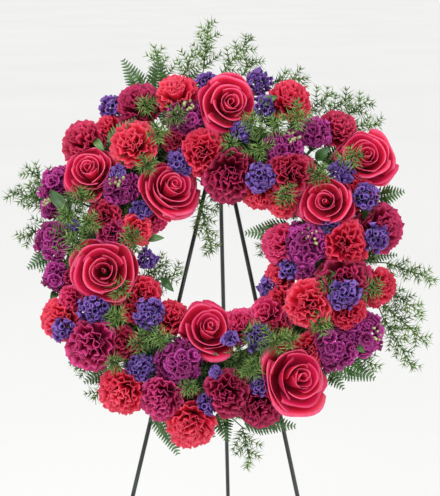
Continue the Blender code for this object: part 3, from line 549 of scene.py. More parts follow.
def axes_along(path: np.ndarray) -> tuple[np.ndarray, np.ndarray, np.ndarray]:
    """The directions along a path and two across it, which don't twist.

    Args:
        path: Rows of points.

    Returns:
        The tangents and the two crosswise directions, one row a point.
    """
    along = unit(np.gradient(path, axis=0))
    start = np.array(Vector(along[0]).orthogonal().normalized())
    across = np.empty_like(along)
    for place, tangent in enumerate(along):
        start = unit(start - tangent * start.dot(tangent))
        across[place] = start
    return along, across, np.cross(along, across)


def rod(path: np.ndarray, radii: np.ndarray, sides: int, material: int) -> bpy.types.Mesh:
    """A round rod along a path, closed at both ends.

    Args:
        path: Rows of points in the wreath's frame.
        radii: The radius at each point.
        sides: How many faces round it.
        material: The slot of its faces.

    Returns:
        The mesh.
    """
    template = sheet(sides, len(path) + 1)
    flat = points_of(template)
    row = np.rint((flat[:, 1] + 1.0) / 2.0 * (len(path) + 1)).astype(int)
    place = np.clip(row - 1, 0, len(path) - 1)
    radius = np.where((row == 0) | (row == len(path) + 1), 0.0, radii[place])
    turn = (flat[:, 0] + 1.0) * math.pi
    _, across, up = axes_along(path)
    points = (
        path[place]
        + across[place] * (radius * np.cos(turn))[:, None]
        + up[place] * (radius * np.sin(turn))[:, None]
    )
    mesh = shaped(template, points[None], np.array([0.5]), material)
    bm = bmesh.new()
    bm.from_mesh(mesh)
    bmesh.ops.remove_doubles(bm, verts=bm.verts, dist=1e-4)
    bmesh.ops.recalc_face_normals(bm, faces=bm.faces)
    bm.to_mesh(mesh)
    bm.free()
    return mesh


def stalk(path: np.ndarray, foot: float, tip: float, sides: int, material: int) -> bpy.types.Mesh:
    """A rod whose radius goes evenly from foot to tip."""
    return rod(path, np.linspace(foot, tip, len(path)), sides, material)


def smooth_path(points: list[np.ndarray], step: float) -> np.ndarray:
    """Evenly spaced points on a smooth curve through a few.

    Args:
        points: The points that the curve goes through.
        step: The spacing wanted, in millimetres.

    Returns:
        Rows of points, the first and last of them as given.
    """
    ends = [points[0] * 2 - points[1], *points, points[-1] * 2 - points[-2]]
    share = np.linspace(0.0, 1.0, 13)[:-1, None]
    fine = []
    for before, first, second, after in zip(ends, ends[1:], ends[2:], ends[3:]):
        square = 2 * before - 5 * first + 4 * second - after
        cube = 3 * first - before - 3 * second + after
        fine.append(0.5 * (2 * first + (second - before) * share + square * share**2 + cube * share**3))
    curve = np.vstack([*fine, points[-1][None]])
    lengths = np.concatenate([[0.0], np.cumsum(np.linalg.norm(np.diff(curve, axis=0), axis=1))])
    count = max(2, round(lengths[-1] / step))
    want = np.linspace(0.0, lengths[-1], count + 1)
    return np.stack([np.interp(want, lengths, curve[:, axis]) for axis in range(3)], axis=1)


# The pieces


@dataclass
class Piece:
    """One visible piece, gathered from meshes in the wreath's frame.

    Attributes:
        name: The piece's name.
        slot: A slot's name, which is not used.
        finishes: Its materials, in the order of its slots.
        node: The CAD node that it stands for, or None.
        thickness: How thick its sheets are made, in millimetres, or 0.
        parts: The meshes so far.
        solids: The meshes that are closed already and get no thickness.
    """

    name: str
    slot: str
    finishes: list[bpy.types.Material]
    node: str | None = None
    thickness: float = 0.0
    parts: list[bpy.types.Mesh] = field(default_factory=list)
    solids: list[bpy.types.Mesh] = field(default_factory=list)

    def joined(self) -> bpy.types.Mesh:
        """Joins the sheets, thickened, and the closed meshes into one.

        Returns:
            One mesh in the wreath's frame.
        """
        bm = bmesh.new()
        for mesh in self.parts:
            bm.from_mesh(mesh)
        if self.thickness and self.parts:
            obj = linked(self.name, to_mesh(bm, self.name))
            wall = obj.modifiers.new("wall", "SOLIDIFY")
            wall.thickness = self.thickness
            wall.offset = 0.0
            bm = bmesh.new()
            bm.from_mesh(applied(obj))
        for mesh in self.solids:
            bm.from_mesh(mesh)
        return to_mesh(bm, self.name)

    def build(self) -> bpy.types.Object:
        """Puts the piece in the scene, in the row's frame, on its body.

        Returns:
            The finished object.
        """
        mesh = self.joined()
        points = to_row(points_of(mesh))
        mesh.vertices.foreach_set("co", points.reshape(-1).astype(np.float32))
        mesh.polygons.foreach_set("use_smooth", np.ones(len(mesh.polygons), bool))
        mesh.update()
        for finish in self.finishes:
            mesh.materials.append(finish)
        obj = linked(self.name, mesh)
        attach(obj, BODY)
        if self.node:
            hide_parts(self.node)
        LOG.info("%s: %d faces", self.name, len(mesh.polygons))
        return obj


# The layout


@dataclass
class Head:
    """Where one bloom or cluster sits, and how its neighbours press on it.

    Attributes:
        node: The CAD node that it is part of.
        row: Its u, v, radius and lift.
        face: Which way it faces, as u and v against w, or None for the ring's own way.
        shade: A carnation's colour, or None.
        limits: The flat limits round it: a direction and the room that way.
    """

    node: str
    row: tuple[float, float, float, float]
    face: tuple[float, float] | None = None
    shade: Shade | None = None
    limits: list[tuple[np.ndarray, float]] = field(default_factory=list)

    def __post_init__(self) -> None:
        """Works out the centre and the way that it faces."""
        u, v, self.radius, lift = self.row
        reach = math.hypot(u, v)
        across = (reach - RING) / DOME_HALF
        rise = math.sqrt(1.0 - min(abs(across), 0.92) ** 2)
        self.centre = in_view(u, v, TUBE_DEPTH + DOME_DEPTH * rise + lift)
        lean = max(-1.0, min(1.0, across)) * FACE_LEAN
        way = (*self.face, 1.0) if self.face else (u / reach * lean, v / reach * lean, 1.0)
        self.faces = unit(np.array(way))

    def set_limits(self, others: list["Head"]) -> None:
        """Finds how far the head may reach towards each neighbour, the foam and behind.

        Args:
            others: All the heads of the wreath.
        """
        for other in others:
            toward = other.centre - self.centre
            apart = float(np.linalg.norm(toward))
            if other is self or apart > (self.radius + other.radius) * 1.15:
                continue
            share = (apart**2 + self.radius**2 - other.radius**2) / (2 * apart)
            most = apart - LEAST_SHARE * other.radius
            share = min(max(share, LEAST_SHARE * self.radius), most)
            self.limits.append((toward / apart, share + PRESS))
        self.limits.append((np.array((0.0, 0.0, -1.0)), self.centre[2] - HEAD_FLOOR))
        reach = math.hypot(self.centre[0], self.centre[1])
        flat = unit(np.array((reach - RING, self.centre[2] - TUBE_DEPTH)))
        room = math.hypot(reach - RING, self.centre[2] - TUBE_DEPTH) - foam_support(flat) - 2.5
        radial = np.array((self.centre[0] / reach, self.centre[1] / reach, 0.0))
        self.limits.append((-(radial * flat[0] + np.array((0.0, 0.0, flat[1]))), room))

    def placed(self, points: np.ndarray, twist: float = 0.0) -> np.ndarray:
        """Turns points to the head's face, presses them inside its limits and places them.

        Args:
            points: Copies by vertices by three, facing +Z about the head's centre.
            twist: A first turn about its axis, in radians.

        Returns:
            The points in the wreath's frame.
        """
        turned = points @ turned_to(self.faces, twist).T
        for way, room in self.limits:
            reach = turned @ way
            start = 0.8 * room
            over = reach > start
            soft = start + (room - start) * np.tanh((reach - start) / (room - start))
            turned = turned * np.where(over, soft / np.where(over, reach, 1.0), 1.0)[..., None]
        return turned + self.centre


def foam_support(way: np.ndarray) -> float:
    """The farthest reach of the foam's section one way from its middle, in millimetres.

    Args:
        way: The direction, across the ring and out of its face.

    Returns:
        The reach.
    """
    section = [
        (-FOAM_HALF, FOAM_BACK),
        (FOAM_HALF, FOAM_BACK),
        (FOAM_HALF, FOAM_SHOULDER),
        (FOAM_TOP_HALF, FOAM_FRONT),
        (-FOAM_TOP_HALF, FOAM_FRONT),
        (-FOAM_HALF, FOAM_SHOULDER),
    ]
    return max(across * way[0] + (depth - TUBE_DEPTH) * way[1] for across, depth in section)


def stem_hole(node: str) -> tuple[np.ndarray, np.ndarray]:
    """Reads from a CAD node where its stem stands in the foam.

    Args:
        node: The name of the node.

    Returns:
        The fork outside the foam and the stem's end inside it, in the wreath's frame.
    """
    corners = from_row(points_of(bpy.data.objects[node].data))
    reach = np.hypot(corners[:, 0], corners[:, 1])
    inside = (np.abs(reach - RING) < FOAM_HALF - 1.5) & (corners[:, 2] < FOAM_FRONT - 1.5)
    inside &= np.abs(reach - RING) + corners[:, 2] < FOAM_HALF + FOAM_SHOULDER - 1.5
    end = corners[inside]
    middle = end.mean(axis=0)
    normal = np.linalg.svd(end - middle)[2][2]
    radial = np.array((middle[0], middle[1], 0.0)) / np.hypot(middle[0], middle[1])
    outwards = radial * (np.hypot(middle[0], middle[1]) - RING)
    outwards[2] = middle[2] - TUBE_DEPTH
    if normal.dot(outwards) < 0:
        normal = -normal
    return middle + normal * (STEM_IN_FOAM + STEM_FORK), middle


class Layout:
    """All the heads, each with its limits, by the CAD node that they belong to."""

    def __init__(self) -> None:
        """Reads the tables and sets each head's limits."""
        self.heads: dict[str, list[Head]] = {}
        for node, row in ROSES.items():
            self.heads[node] = [Head(node, row, ROSE_FACES[node])]
        for node, rows in CARNATIONS.items():
            self.heads[node] = [Head(node, row[:4], None, row[4]) for row in rows]
        for node, rows in {**STOCKS, **STATICES}.items():
            self.heads[node] = [Head(node, row) for row in rows]
        every = [head for members in self.heads.values() for head in members]
        for head in every:
            head.set_limits(every)
        self.every = every

    def is_open(self, point: np.ndarray, share: float) -> bool:
        """Says whether a point lies outside every head.

        Args:
            point: A point in the wreath's frame.
            share: How much of each radius counts.

        Returns:
            True if no head holds it.
        """
        return all(np.linalg.norm(point - head.centre) > share * head.radius for head in self.every)


# The blooms


@dataclass(frozen=True)
class Whorl:
    """One ring of petals in a bloom.

    Attributes:
        lean: The angle of the rims from the bloom's axis, in degrees.
        count: How many petals.
        half: Half a petal's width, as a share of the radius, or in radians on a rose.
        length: How far the rims reach, as a share of the radius.
        ruffle: How much the rims wave, as a share of the radius.
    """

    lean: float
    count: int
    half: float
    length: float
    ruffle: float


def bend(base: np.ndarray, middle: np.ndarray, tip: np.ndarray, share: np.ndarray) -> np.ndarray:
    """Points on a bent line from base to tip, drawn towards the middle one.

    Args:
        base: Copies by two: the distance from the axis and the height.
        middle: The same for the point that draws the line.
        tip: The same for the rim.
        share: The share of the way along, one a vertex.

    Returns:
        Copies by vertices by two.
    """
    along = share[None, :, None]
    return (
        base[:, None] * (1 - along) ** 2
        + middle[:, None] * 2 * along * (1 - along)
        + tip[:, None] * along**2
    )


def scattered(
    whorl: Whorl, first: float, spread: tuple[float, float, float], draw: np.random.Generator
) -> tuple[np.ndarray, np.ndarray, np.ndarray]:
    """Places a whorl's petals round the bloom, a little unevenly.

    Args:
        whorl: The ring of petals.
        first: Where its first petal stands, in radians.
        spread: How far they vary in turn, in radians, in lean, in degrees, and in length.
        draw: The bloom's own random numbers.

    Returns:
        Each petal's turn, as a column, its lean in radians and its length.
    """
    even = first + math.tau * np.arange(whorl.count) / whorl.count
    turn, lean, length = (draw.normal(0.0, width, whorl.count) for width in spread)
    return (even + turn)[:, None], np.radians(whorl.lean + lean), whorl.length * (1.0 + length)


@dataclass
class RuffledPetals:
    """Fan-shaped petals with waved and toothed rims, as carnations and stock have.

    Attributes:
        whorls: The rings of petals, from the heart out.
        columns: Faces across a petal.
        rows: Faces along a petal.
        tooth: How deep the rim's teeth are, as a share of the radius.
    """

    whorls: tuple[Whorl, ...]
    columns: int
    rows: int
    tooth: float

    def shape(self, radius: float, draw: np.random.Generator) -> np.ndarray:
        """Shapes every petal of one bloom.

        Args:
            radius: The bloom's radius in millimetres.
            draw: The bloom's own random numbers.

        Returns:
            Petals by vertices by three, facing +Z about the bloom's centre.
        """
        flat = points_of(sheet(self.columns, self.rows))
        side = flat[:, 0]
        share = ((flat[:, 1] + 1.0) / 2.0) ** 0.75
        teeth = np.cos(np.rint((side + 1.0) / 2.0 * self.columns) * math.pi) * (share > 0.999)
        shaped_petals = []
        for whorl in self.whorls:
            count = whorl.count
            turn, lean, length = scattered(
                whorl, GOLDEN * len(shaped_petals), (0.10, 4.5, 0.045), draw
            )
            tip = np.stack([length * np.sin(lean), length * 0.9 * np.cos(lean)], axis=1)
            base = np.tile((0.03, -0.62), (count, 1))
            middle = np.stack([0.34 * np.sin(lean), 0.12 * np.cos(lean) - 0.18], axis=1)
            line = bend(base, middle, tip, share)
            before = bend(base, middle, tip, share - 0.02)
            way = unit(line - before + 1e-6)
            phase = draw.uniform(0.0, math.tau, (count, 1))
            waves = draw.uniform(1.6, 2.6, (count, 1)) * math.pi
            rim = share[None] ** 2.5
            wave = whorl.ruffle * rim * (
                np.sin(waves * side + phase) + 0.45 * np.sin(2.3 * waves * side + 2.0 * phase)
            )
            lift = 0.5 * whorl.ruffle * rim * np.sin(1.4 * waves * side + 1.7 * phase)
            lift = lift + self.tooth * teeth * (1.0 - 0.4 * side**2)
            lift = lift - 0.14 * whorl.half * rim * side**2
            away = line[..., 0] + way[..., 0] * lift + way[..., 1] * wave
            height = line[..., 1] + way[..., 1] * lift - way[..., 0] * wave
            half = whorl.half * (0.10 + 0.90 * share**1.15)
            away = away - 0.22 * half * side**2
            across = half * side
            cos, sin = np.cos(turn), np.sin(turn)
            shaped_petals.append(
                np.stack([away * cos - across * sin, away * sin + across * cos, height], axis=-1)
            )
        return np.concatenate(shaped_petals) * radius


@dataclass
class CuppedPetals:
    """Broad smooth petals that wrap round a tight heart, as a garden rose has.

    Attributes:
        whorls: The rings of petals, from the heart out.
        columns: Faces across a petal.
        rows: Faces along a petal.
    """

    whorls: tuple[Whorl, ...]
    columns: int
    rows: int

    def shape(self, radius: float, draw: np.random.Generator) -> np.ndarray:
        """Shapes every petal of one rose.

        Args:
            radius: The rose's radius in millimetres.
            draw: The rose's own random numbers.

        Returns:
            Petals by vertices by three, facing +Z about the rose's centre.
        """
        flat = points_of(sheet(self.columns, self.rows))
        side = flat[:, 0]
        share = (flat[:, 1] + 1.0) / 2.0
        shaped_petals = []
        for number, whorl in enumerate(self.whorls):
            count = whorl.count
            spread = (0.08, 1.5 + 0.05 * whorl.lean, 0.035)
            turn, lean, length = scattered(whorl, GOLDEN * number * 1.3, spread, draw)
            tip = np.stack([length * np.sin(lean), length * 0.84 * np.cos(lean)], axis=1)
            base = np.tile((0.05, -0.74), (count, 1))
            outer = max(0.0, (whorl.lean - 60.0) / 40.0)
            middle = np.stack(
                [tip[:, 0] * 1.12 + 0.05, tip[:, 1] - 0.52 + 0.20 * outer], axis=1
            )
            line = bend(base, middle, tip, share * (1.0 - 0.16 * np.abs(side) ** 2.6))
            rolled = np.clip((share - 0.74) / 0.26, 0.0, 1.0)[None]
            lip = whorl.ruffle * (1.0 + draw.normal(0.0, 0.25, (count, 1)))
            phase = draw.uniform(0.0, math.tau, (count, 1))
            wave = 0.22 * whorl.ruffle * np.sin(5.0 * side[None] + phase) * share[None] ** 3
            point = 0.10 * whorl.ruffle * np.exp(-((side[None] * 3.2) ** 2)) * rolled
            tuck = 1.0 + (0.34 if whorl.lean < 12 else 0.09) * side[None]
            away = line[..., 0] * tuck + lip * rolled**1.6 + wave
            height = line[..., 1] - 0.55 * lip * rolled**2.4 + wave + point
            angle = turn + whorl.half * side[None] * (0.62 + 0.38 * np.sin(share[None] * 2.2))
            shaped_petals.append(
                np.stack([away * np.cos(angle), away * np.sin(angle), height], axis=-1)
            )
        return np.concatenate(shaped_petals) * radius


CARNATION = RuffledPetals(
    (
        Whorl(10, 4, 0.34, 0.97, 0.11),
        Whorl(27, 6, 0.38, 1.00, 0.10),
        Whorl(45, 7, 0.42, 1.02, 0.09),
        Whorl(64, 8, 0.44, 1.03, 0.08),
        Whorl(85, 8, 0.46, 1.02, 0.07),
    ),
    12, 4, 0.020,
)
# Carnations of a smaller radius than this one have fewer petals.
SMALL_HEAD = 22.5
SMALL_CARNATION = RuffledPetals(
    (
        Whorl(12, 4, 0.38, 0.97, 0.12),
        Whorl(36, 6, 0.44, 1.00, 0.10),
        Whorl(60, 7, 0.48, 1.02, 0.09),
        Whorl(84, 7, 0.50, 1.02, 0.08),
    ),
    10, 4, 0.022,
)
STOCK_FLORET = RuffledPetals(
    (
        Whorl(22, 3, 0.46, 0.95, 0.15),
        Whorl(72, 5, 0.64, 1.12, 0.12),
    ),
    4, 3, 0.0,
)
ROSE = CuppedPetals(
    (
        Whorl(5, 2, 1.9, 0.95, 0.02),
        Whorl(13, 3, 1.35, 0.97, 0.04),
        Whorl(22, 3, 1.30, 0.98, 0.06),
        Whorl(35, 3, 1.25, 1.00, 0.10),
        Whorl(53, 4, 1.06, 1.02, 0.15),
        Whorl(74, 4, 1.04, 1.05, 0.20),
        Whorl(97, 4, 1.00, 1.02, 0.20),
    ),
    12, 9,
)


STEM_RADIUS = 2.1
# How far the petals reach past a head's radius before its limits press them in
ROSE_FILL, CARNATION_FILL = 1.10, 1.24


def stems_of(heads: list[Head], hole: tuple[np.ndarray, np.ndarray], material: int) -> list:
    """The stems of one node's blooms, down to their shared hole in the foam.

    Args:
        heads: The node's blooms.
        hole: The fork outside the foam and the end inside it.
        material: The slot of the stems' faces.

    Returns:
        One closed mesh a bloom, each with the calyx under the petals.
    """
    fork, end = hole
    made = []
    for place, head in enumerate(heads):
        calyx = head.centre - head.faces * head.radius * 0.30
        under = head.centre - head.faces * head.radius * 0.62
        last = end if place == 0 else fork + (end - fork) * 0.3
        path = np.vstack([calyx[None], smooth_path([under, fork, last], 9.0)])
        radii = np.full(len(path), STEM_RADIUS)
        radii[0] = min(head.radius * 0.16, 5.0)
        radii[1] = min(head.radius * 0.13, 4.0)
        made.append(rod(path, radii, 8, material))
    return made


def dome_ways(count: int, lowest: float, draw: np.random.Generator) -> np.ndarray:
    """Spreads directions evenly over a dome.

    Args:
        count: How many.
        lowest: The angle of the lowest from +Z, in degrees.
        draw: Random numbers for a slight unevenness.

    Returns:
        Rows of directions of length one.
    """
    number = np.arange(count)
    height = 1.0 - (number + 0.5) / count * (1.0 - math.cos(math.radians(lowest)))
    turn = number * GOLDEN + draw.uniform(0.0, math.tau)
    flat = np.sqrt(1.0 - height**2)
    ways = np.stack([flat * np.cos(turn), flat * np.sin(turn), height], axis=1)
    return unit(ways + draw.normal(0.0, 0.05, ways.shape))


@dataclass
class Bunch:
    """The blooms of one CAD node, on stems that share a hole in the foam.

    Attributes:
        node: The CAD node.
        heads: Its blooms.
        hole: The fork outside the foam and the end inside it.
        seed: What its random numbers start from.
    """

    node: str
    heads: list[Head]
    hole: tuple[np.ndarray, np.ndarray]
    seed: int


class Rose(Bunch):
    """A full garden rose on its stem."""

    def build(self, finishes: "Finishes") -> bpy.types.Object:
        """Builds the rose that stands for its CAD node.

        Args:
            finishes: Every material of the wreath and its stand.

        Returns:
            The finished object.
        """
        draw = np.random.default_rng(self.seed)
        piece = Piece(
            self.node + "_bloom", "rose_petal", [finishes.rose, finishes.stem], self.node, 0.5
        )
        for head in self.heads:
            points = head.placed(ROSE.shape(head.radius * ROSE_FILL, draw), draw.uniform(0, math.tau))
            tones = draw.uniform(0.0, 1.0, len(points))
            piece.parts.append(shaped(sheet(ROSE.columns, ROSE.rows), points, tones, 0))
        piece.solids += stems_of(self.heads, self.hole, 1)
        return piece.build()


class Carnations(Bunch):
    """A bunch of carnations, each of its own colour, on joined stems."""

    def build(self, finishes: "Finishes") -> bpy.types.Object:
        """Builds the bunch that stands for its CAD node.

        Args:
            finishes: Every material of the wreath and its stand.

        Returns:
            The finished object.
        """
        draw = np.random.default_rng(self.seed)
        shades = list(dict.fromkeys(head.shade for head in self.heads))
        slots = [*(finishes.carnation[shade] for shade in shades), finishes.stem]
        piece = Piece(self.node + "_blooms", "carnation_petal", slots, self.node, 0.4)
        for head in self.heads:
            kind = SMALL_CARNATION if head.radius < SMALL_HEAD else CARNATION
            points = head.placed(kind.shape(head.radius * CARNATION_FILL, draw), draw.uniform(0, math.tau))
            tones = draw.uniform(0.0, 1.0, len(points))
            slot = shades.index(head.shade)
            piece.parts.append(shaped(sheet(kind.columns, kind.rows), points, tones, slot))
        piece.solids += stems_of(self.heads, self.hole, len(shades))
        return piece.build()


@dataclass
class Stock(Bunch):
    """Spikes of stock: small double florets, with pale buds at some tips.

    Attributes:
        floret: A floret's radius, in millimetres.
    """

    floret: float = 10.5

    def build(self, finishes: "Finishes") -> bpy.types.Object:
        """Builds the spikes that stand for their CAD node.

        Args:
            finishes: Every material of the wreath and its stand.

        Returns:
            The finished object.
        """
        draw = np.random.default_rng(self.seed)
        slots = [finishes.stock, finishes.bud, finishes.stem]
        piece = Piece(self.node + "_florets", "stock_petal", slots, self.node, 0.35)
        for head in self.heads:
            florets = []
            count = max(8, round(3.3 * (head.radius / self.floret) ** 2))
            for way in dome_ways(count, 104.0, draw):
                petals = STOCK_FLORET.shape(self.floret, draw) @ turned_to(
                    way, draw.uniform(0, math.tau)
                ).T
                deep = head.radius * draw.uniform(0.72, 1.14) - 0.4 * self.floret
                florets.append(petals + way * deep)
            points = head.placed(np.concatenate(florets), draw.uniform(0, math.tau))
            tones = np.repeat(draw.uniform(0.0, 1.0, count), len(points) // count)
            template = sheet(STOCK_FLORET.columns, STOCK_FLORET.rows)
            piece.parts.append(shaped(template, points, tones, 0))
            if head.row[:2] in STOCK_BUDS:
                piece.solids.append(self.buds(head, draw))
        piece.solids += stems_of(self.heads, self.hole, 2)
        return piece.build()

    def buds(self, head: Head, draw: np.random.Generator) -> bpy.types.Mesh:
        """The closed buds at the tip of one spike.

        Args:
            head: The spike.
            draw: Random numbers.

        Returns:
            The buds' mesh.
        """
        ball = points_of(bud())
        made = []
        middle = turned_to(unit(np.array((*STOCK_BUDS[head.row[:2]], 1.0))))
        for way in dome_ways(8, 24.0, draw) @ middle.T:
            long = draw.uniform(3.2, 5.2)
            size = np.array((long * 0.5, long * 0.5, long))
            tilt = unit(way + draw.normal(0.0, 0.3, 3))
            made.append((ball * size) @ turned_to(tilt).T + way * (head.radius * 1.02))
        points = head.placed(np.array(made))
        return shaped(bud(), points, draw.uniform(0, 1, len(points)), 1)


@dataclass
class Statice(Bunch):
    """Clusters of statice: papery funnels packed on short branches.

    Attributes:
        sides: How many faces round a funnel.
        mouth: A funnel's size, in millimetres.
    """

    sides: int = 10
    mouth: float = 4.4

    def cups(self, head: Head, draw: np.random.Generator) -> bpy.types.Mesh:
        """The papery funnels of one cluster.

        Args:
            head: The cluster.
            draw: Random numbers.

        Returns:
            The funnels' mesh.
        """
        cone = points_of(funnel(self.sides))
        turn = np.arctan2(cone[:, 1], cone[:, 0])
        rim = cone[:, 2] > 0
        count = max(18, round(2.9 * (head.radius / self.mouth) ** 2))
        made = []
        for way in dome_ways(count, 118.0, draw):
            size = self.mouth * draw.uniform(0.75, 1.2)
            pleat = 1.0 + 0.24 * np.cos(5.0 * turn + draw.uniform(0, math.tau)) * rim
            one = cone * np.stack([pleat, pleat, np.ones_like(pleat)], axis=1)
            one[:, 2] += 0.25 * np.cos(5.0 * turn) * rim
            one = one * size
            place = way * (head.radius * draw.uniform(0.55, 1.16))
            tilt = unit(way + draw.normal(0.0, 0.40, 3))
            made.append(one @ turned_to(tilt, draw.uniform(0, math.tau)).T + place)
        points = head.placed(np.array(made), 0.0)
        return shaped(funnel(self.sides), points, draw.uniform(0, 1, count), 0)

    def branches(self, head: Head, draw: np.random.Generator) -> list[bpy.types.Mesh]:
        """The short green branches inside one cluster.

        Args:
            head: The cluster.
            draw: Random numbers.

        Returns:
            One closed mesh a branch.
        """
        made = []
        for way in dome_ways(7, 100.0, draw):
            tip = head.placed((way * head.radius * 0.85)[None, None])[0, 0]
            start = head.centre - head.faces * head.radius * 0.30
            path = smooth_path([start, tip], 8.0)
            made.append(stalk(path, 0.9, 0.9, 5, 1))
        return made

    def build(self, finishes: "Finishes") -> bpy.types.Object:
        """Builds the clusters that stand for their CAD node.

        Args:
            finishes: Every material of the wreath and its stand.

        Returns:
            The finished object.
        """
        draw = np.random.default_rng(self.seed)
        slots = [finishes.statice, finishes.stem, finishes.leaf]
        piece = Piece(self.node + "_bracts", "statice_bract", slots, self.node, 0.3)
        for head in self.heads:
            piece.parts.append(self.cups(head, draw))
            piece.solids += self.branches(head, draw)
        piece.solids += stems_of(self.heads, self.hole, 1)
        if self.node == FERN_NODE:
            path = smooth_path([in_view(*point) for point in FERN_POINTS[1:]], 5.0)
            stem = smooth_path([self.hole[0], *(in_view(*point) for point in FERN_POINTS)], 6.0)
            piece.parts.append(leaflets_along(path, 15.0, 2, draw))
            piece.solids.append(stalk(stem, 1.2, 0.5, 6, 1))
        return piece.build()


# The greens

# A twig's needles: the spacing of the whorls, the needles in each, and their length
SPRAY_NEEDLES, TWIG_NEEDLES, FACE_NEEDLES = (6.0, 6, 18.5), (5.6, 5, 15.5), (5.0, 6, 20.0)


def needles_along(
    path: np.ndarray, step: float, count: int, length: float, material: int,
    draw: np.random.Generator,
) -> bpy.types.Mesh:
    """Whorls of needles along a twig, the last ones closing over its tip.

    Args:
        path: The twig's line, evenly spaced.
        step: The spacing of the whorls, in millimetres.
        count: Needles in a whorl.
        length: A needle's length.
        material: The slot of their faces.
        draw: Random numbers.

    Returns:
        The needles' mesh.
    """
    thin = points_of(needle())
    total = float(np.linalg.norm(np.diff(path, axis=0), axis=1).sum())
    whorls = max(3, round(total / step))
    along, across, up = axes_along(path)
    made = []
    for number in range(whorls):
        share = (number + 0.5 * draw.uniform()) / whorls
        place = share * (len(path) - 1)
        at = min(int(place), len(path) - 2)
        foot = path[at] + (path[at + 1] - path[at]) * (place - at)
        spread = 1.1 - 0.6 * share**2
        turn = draw.uniform(0, math.tau) + math.tau * np.arange(count) / count
        for angle in turn + draw.normal(0.0, 0.25, count):
            out = across[at] * math.cos(angle) + up[at] * math.sin(angle)
            way = unit(out * spread + along[at] * draw.uniform(0.3, 0.9))
            long = length * (0.70 + 0.35 * math.sin(math.pi * min(1.0, 0.2 + share)))
            long *= draw.uniform(0.7, 1.15)
            size = np.array((NEEDLE_HALF, NEEDLE_HALF, long / 2))
            made.append((thin * size + (0, 0, long / 2)) @ turned_to(way).T + foot)
    return shaped(needle(), np.array(made), draw.uniform(0, 1, len(made)), material)


def leaflets_along(
    path: np.ndarray, width: float, material: int, draw: np.random.Generator
) -> bpy.types.Mesh:
    """Pairs of toothed leaflets along a fern's rib, growing shorter to its tip.

    Args:
        path: The rib's line, one pair a point.
        width: The longest leaflet's length, in millimetres.
        material: The slot of their faces.
        draw: Random numbers.

    Returns:
        The leaflets' mesh.
    """
    blade = sheet(8, 2)
    flat = points_of(blade)
    far = (flat[:, 0] + 1.0) / 2.0
    lobes = 1.0 - 0.38 * (np.rint(far * 8).astype(int) % 2)
    outline = np.clip(1.06 - far, 0.0, 1.0) ** 0.6 * np.clip(0.35 + far * 3.0, 0.0, 1.0) * lobes
    along = unit(np.gradient(path, axis=0))
    made = []
    for place, point in enumerate(path):
        share = place / (len(path) - 1)
        long = width * min(1.0, 0.75 + 1.2 * share) * (1.0 - 0.88 * share) ** 0.8
        side = unit(np.cross(along[place], (0.0, 0.0, 1.0)))
        up = np.cross(side, along[place])
        for hand in (-1.0, 1.0):
            tilt = draw.normal(-0.12, 0.10)
            out = unit(side * hand + along[place] * 0.50 + up * tilt)
            wide = unit(along[place] - out * along[place].dot(out))
            droop = -0.10 * long * far**2
            bumps = 0.5 * np.abs(flat[:, 1])
            made.append(
                point
                + out * (far * long)[:, None]
                + wide * (flat[:, 1] * outline * min(3.6, 0.8 + long * 0.18))[:, None]
                + up * (droop + bumps)[:, None]
            )
    return shaped(blade, np.array(made), draw.uniform(0, 1, len(made)), material)


@dataclass
class Greens:
    """Sprays and fronds that share one stem in the foam's wall.

    Attributes:
        node: The CAD node.
        hole: The fork outside the foam and the end inside it.
        members: Its sprays and fronds: kind, root, tip and the tip's height.
        level: How far in front of the back its roots stand, in millimetres.
        seed: What its random numbers start from.
    """

    node: str
    hole: tuple[np.ndarray, np.ndarray]
    members: list
    level: float
    seed: int

    def build(self, finishes: "Finishes") -> bpy.types.Object:
        """Builds the greens that stand for their CAD node.

        Args:
            finishes: Every material of the wreath and its stand.

        Returns:
            The finished object.
        """
        draw = np.random.default_rng(self.seed)
        slots = [finishes.needle, finishes.stem, finishes.leaf]
        piece = Piece(self.node + "_foliage", "foliage", slots, self.node, 0.35)
        fork, end = self.hole
        trunk = smooth_path([fork, end], 6.0)
        piece.solids.append(stalk(trunk, 1.8, 1.8, 8, 1))
        for kind, root, tip, height in self.members:
            root_at = np.array((*root, self.level))
            tip_at = in_view(*tip, height)
            middle = (root_at + tip_at) / 2
            middle[2] += 0.22 * (height - self.level)
            lead = smooth_path([fork + (end - fork) * 0.1, root_at], 8.0)
            path = smooth_path([root_at, middle, tip_at], 5.0)
            stem = np.vstack([lead[:-1], path])
            piece.solids.append(stalk(stem, 1.2, 0.5, 6, 1))
            if kind is SPRAY:
                piece.solids.append(needles_along(path, *SPRAY_NEEDLES, 0, draw))
                piece.solids += self.side_twigs(path, draw)
            else:
                long = float(np.linalg.norm(tip_at - root_at))
                width = min(26.0, 0.38 * long + 6.0)
                piece.parts.append(leaflets_along(path, width, 2, draw))
        return piece.build()

    def side_twigs(self, path: np.ndarray, draw: np.random.Generator) -> list[bpy.types.Mesh]:
        """The short needled twigs on both sides of a spray.

        Args:
            path: The spray's line.
            draw: Random numbers.

        Returns:
            Their rods and needles.
        """
        made = []
        along, _, up = axes_along(path)
        hand = 1.0
        for place in range(1, len(path) - 2, 2):
            share = place / (len(path) - 1)
            side = unit(np.cross(along[place], (0.0, 0.0, 1.0))) * hand
            out = unit(side * 0.8 + along[place] * 0.75 + up[place] * draw.normal(0.0, 0.2))
            long = (31.0 - 16.0 * share) * draw.uniform(0.75, 1.15)
            twig = smooth_path([path[place], path[place] + out * long], 4.0)
            made.append(stalk(twig, 0.7, 0.4, 4, 1))
            made.append(needles_along(twig, *TWIG_NEEDLES, 0, draw))
            hand = -hand
        return made


